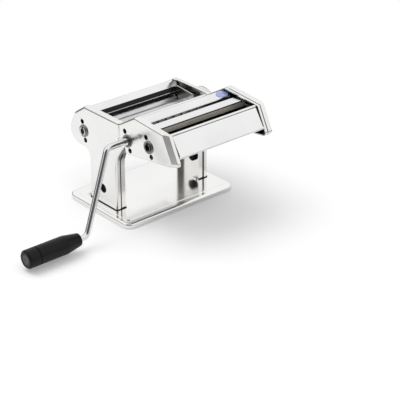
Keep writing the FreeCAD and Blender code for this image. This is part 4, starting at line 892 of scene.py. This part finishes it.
# ------------------------------------------------------------------ grip
DISC_RADIUS = 7.3 * MM
DISC_THICKNESS = 0.45 * MM
DISC_EDGE = 0.35 * MM
DISC_RECESS = (3.2 * MM, 2.9 * MM)
DISC_RIM = 0.6
DISC_FLOOR = 0.7
DISC_SINK = 0.02 * MM
DISC_EYE = 0.01 * MM


def make_grip_disc():
    """The grey disc let into the end of the grip's cap."""
    centre = middle("grip_end_cap")
    floor, _ = surface("grip_end_cap", (cad_low.x - AHEAD, centre.y, centre.z), (1, 0, 0))
    thick = DISC_THICKNESS
    profile = [(DISC_SINK, DISC_EYE), (DISC_SINK, DISC_RADIUS), (-DISC_RIM * thick, DISC_RADIUS),
               (-thick, DISC_RADIUS - DISC_EDGE), (-thick, DISC_RECESS[0]),
               (-DISC_FLOOR * thick, DISC_RECESS[1]), (-DISC_FLOOR * thick, DISC_EYE)]
    mesh = turned_mesh("grip_cap_disc", profile, (floor.x, centre.y, centre.z))
    add_piece("grip_cap_disc", mesh, CAP_DISC, "grip")


make_knob_trim()
make_spring()
make_pointer()
make_badge()
make_lip_beads()
make_wiper_facing()
make_leg_seams()
make_pan_seams()
make_guard_edges()
make_gaskets()
make_linings()
make_grip_disc()


# ------------------------------------------------------------------ studio
CAMERA_PLACE = Vector((-1.0464, -1.3119, 0.8461))
CAMERA_FORWARD = Vector((0.58223, 0.67360, -0.45527))
SENSOR_WIDTH = 36.0
FOCAL_LENGTH = 122.43
CLIP_END = 20.0
DARK_SIDE = Vector((-0.70, -0.68, 0.24))
AMBIENT = 0.62
WHITE = (1.0, 1.0, 1.0)
FLOOR_SIZE = 12.0
FLOOR_NEAR = (0.90, 0.90, 0.905)
FLOOR_FAR = (0.20, 0.20, 0.20)
FLOOR_GLOW = 0.15
SKY_GLOSS = 0.93
HORIZON_DIP = 0.85
FRONT_DIP = 0.45
FRONT_BELT = ((-0.06, 0.03), (0.10, 0.26))
REAR_BELT = ((-0.14, -0.02), (0.22, 0.38))
REAR_BELT_END = (0.15, 0.45, 1.0, 0.35)
REAR_HALF = (0.0, 0.4)
PATCH_EDGE = (0.68, 0.83)
PATCH_DIP = 0.90
DARK_FLOOR = (0.42, 0.85)
WHITE_FLOOR = (0.32, 0.9)
LAMPS = (("overhead", (-0.5, 0.5, 1.9), (0.0, 0.0, 0.1), (1.6, 1.6), 17.0),
         ("front_fill", (0.2, -1.5, 2.0), (0.0, -0.05, 0.1), (1.4, 1.0), 7.0))


def make_world():
    """A white studio with a darker belt above the floor and a dark patch beside the camera."""
    world = bpy.data.worlds.new("studio")
    bpy.context.scene.world = world
    world.use_nodes = True
    tree = Tree(world.node_tree)
    direction = tree.node("ShaderNodeTexCoord", output=0)
    width, depth, height = (tree.part(direction, axis) for axis in range(3))
    front_belt = FRONT_DIP * tree.hump(height, *FRONT_BELT)
    rear_belt = tree.hump(height, *REAR_BELT) * tree.band(width, *REAR_BELT_END)
    belt = front_belt + tree.band(depth, *REAR_HALF) * (rear_belt - front_belt)
    toward = tree.node("ShaderNodeVectorMath", {"operation": "DOT_PRODUCT"}, output=1,
                       i0=direction, i1=DARK_SIDE.normalized())
    patch = tree.band(toward, *PATCH_EDGE)
    level = SKY_GLOSS * (1.0 - HORIZON_DIP * belt) * (1.0 - PATCH_DIP * patch)
    seen = tree.ray("Is Camera Ray")
    gloss = tree.ray("Is Glossy Ray")
    strength = seen + (1.0 - seen) * (gloss * level + (1.0 - gloss) * AMBIENT)
    tree.finish(tree.node("ShaderNodeBackground", Color=WHITE, Strength=strength),
                "ShaderNodeOutputWorld")


def make_floor():
    """A wide white floor that takes the soft shadow and looks darker far off in reflections."""
    bpy.ops.mesh.primitive_plane_add(size=FLOOR_SIZE, location=(0.0, 0.0, cad_low.z))
    floor = bpy.context.object
    floor.name = "floor"
    material, tree = new_material("floor_white")
    near = tree.node("ShaderNodeBsdfDiffuse", Color=FLOOR_NEAR)
    glow = tree.node("ShaderNodeEmission", Color=WHITE, Strength=FLOOR_GLOW)
    lit = tree.node("ShaderNodeAddShader", i0=near, i1=glow)
    far = tree.node("ShaderNodeEmission", Color=FLOOR_FAR, Strength=1.0)
    reach = tree.node("ShaderNodeVectorMath", {"operation": "LENGTH"}, output=1,
                      i0=tree.place())
    white = tree.node("ShaderNodeEmission", Color=WHITE, Strength=1.0)
    dark = tree.band(reach, *DARK_FLOOR) * tree.ray("Is Glossy Ray")
    lit = tree.node("ShaderNodeMixShader", i0=tree.band(reach, *WHITE_FLOOR), i1=lit,
                    i2=white)
    seen = tree.node("ShaderNodeMixShader", i0=tree.ray("Is Camera Ray"), i1=near, i2=lit)
    tree.finish(tree.node("ShaderNodeMixShader", i0=dark, i1=seen, i2=far))
    floor.data.materials.append(material)


def make_lamp(name, place, aim, size, power):
    """An area lamp that looks at a point and is not mirrored in the metal."""
    data = bpy.data.lights.new(name, "AREA")
    data.shape = "RECTANGLE"
    data.size, data.size_y = size
    data.energy = power
    lamp = bpy.data.objects.new(name, data)
    bpy.context.scene.collection.objects.link(lamp)
    lamp.location = place
    lamp.rotation_euler = (Vector(aim) - Vector(place)).to_track_quat("-Z", "Y").to_euler()
    lamp.visible_glossy = False


def make_camera():
    """A long lens from the left front, looking down on the machine."""
    data = bpy.data.cameras.new("camera")
    data.sensor_width = SENSOR_WIDTH
    data.lens = FOCAL_LENGTH
    data.clip_end = CLIP_END
    camera = bpy.data.objects.new("camera", data)
    bpy.context.scene.collection.objects.link(camera)
    camera.location = CAMERA_PLACE
    camera.rotation_euler = CAMERA_FORWARD.to_track_quat("-Z", "Y").to_euler()
    bpy.context.scene.camera = camera


make_world()
make_floor()
for lamp_values in LAMPS:
    make_lamp(*lamp_values)
make_camera()
bpy.context.scene.view_settings.view_transform = "Standard"
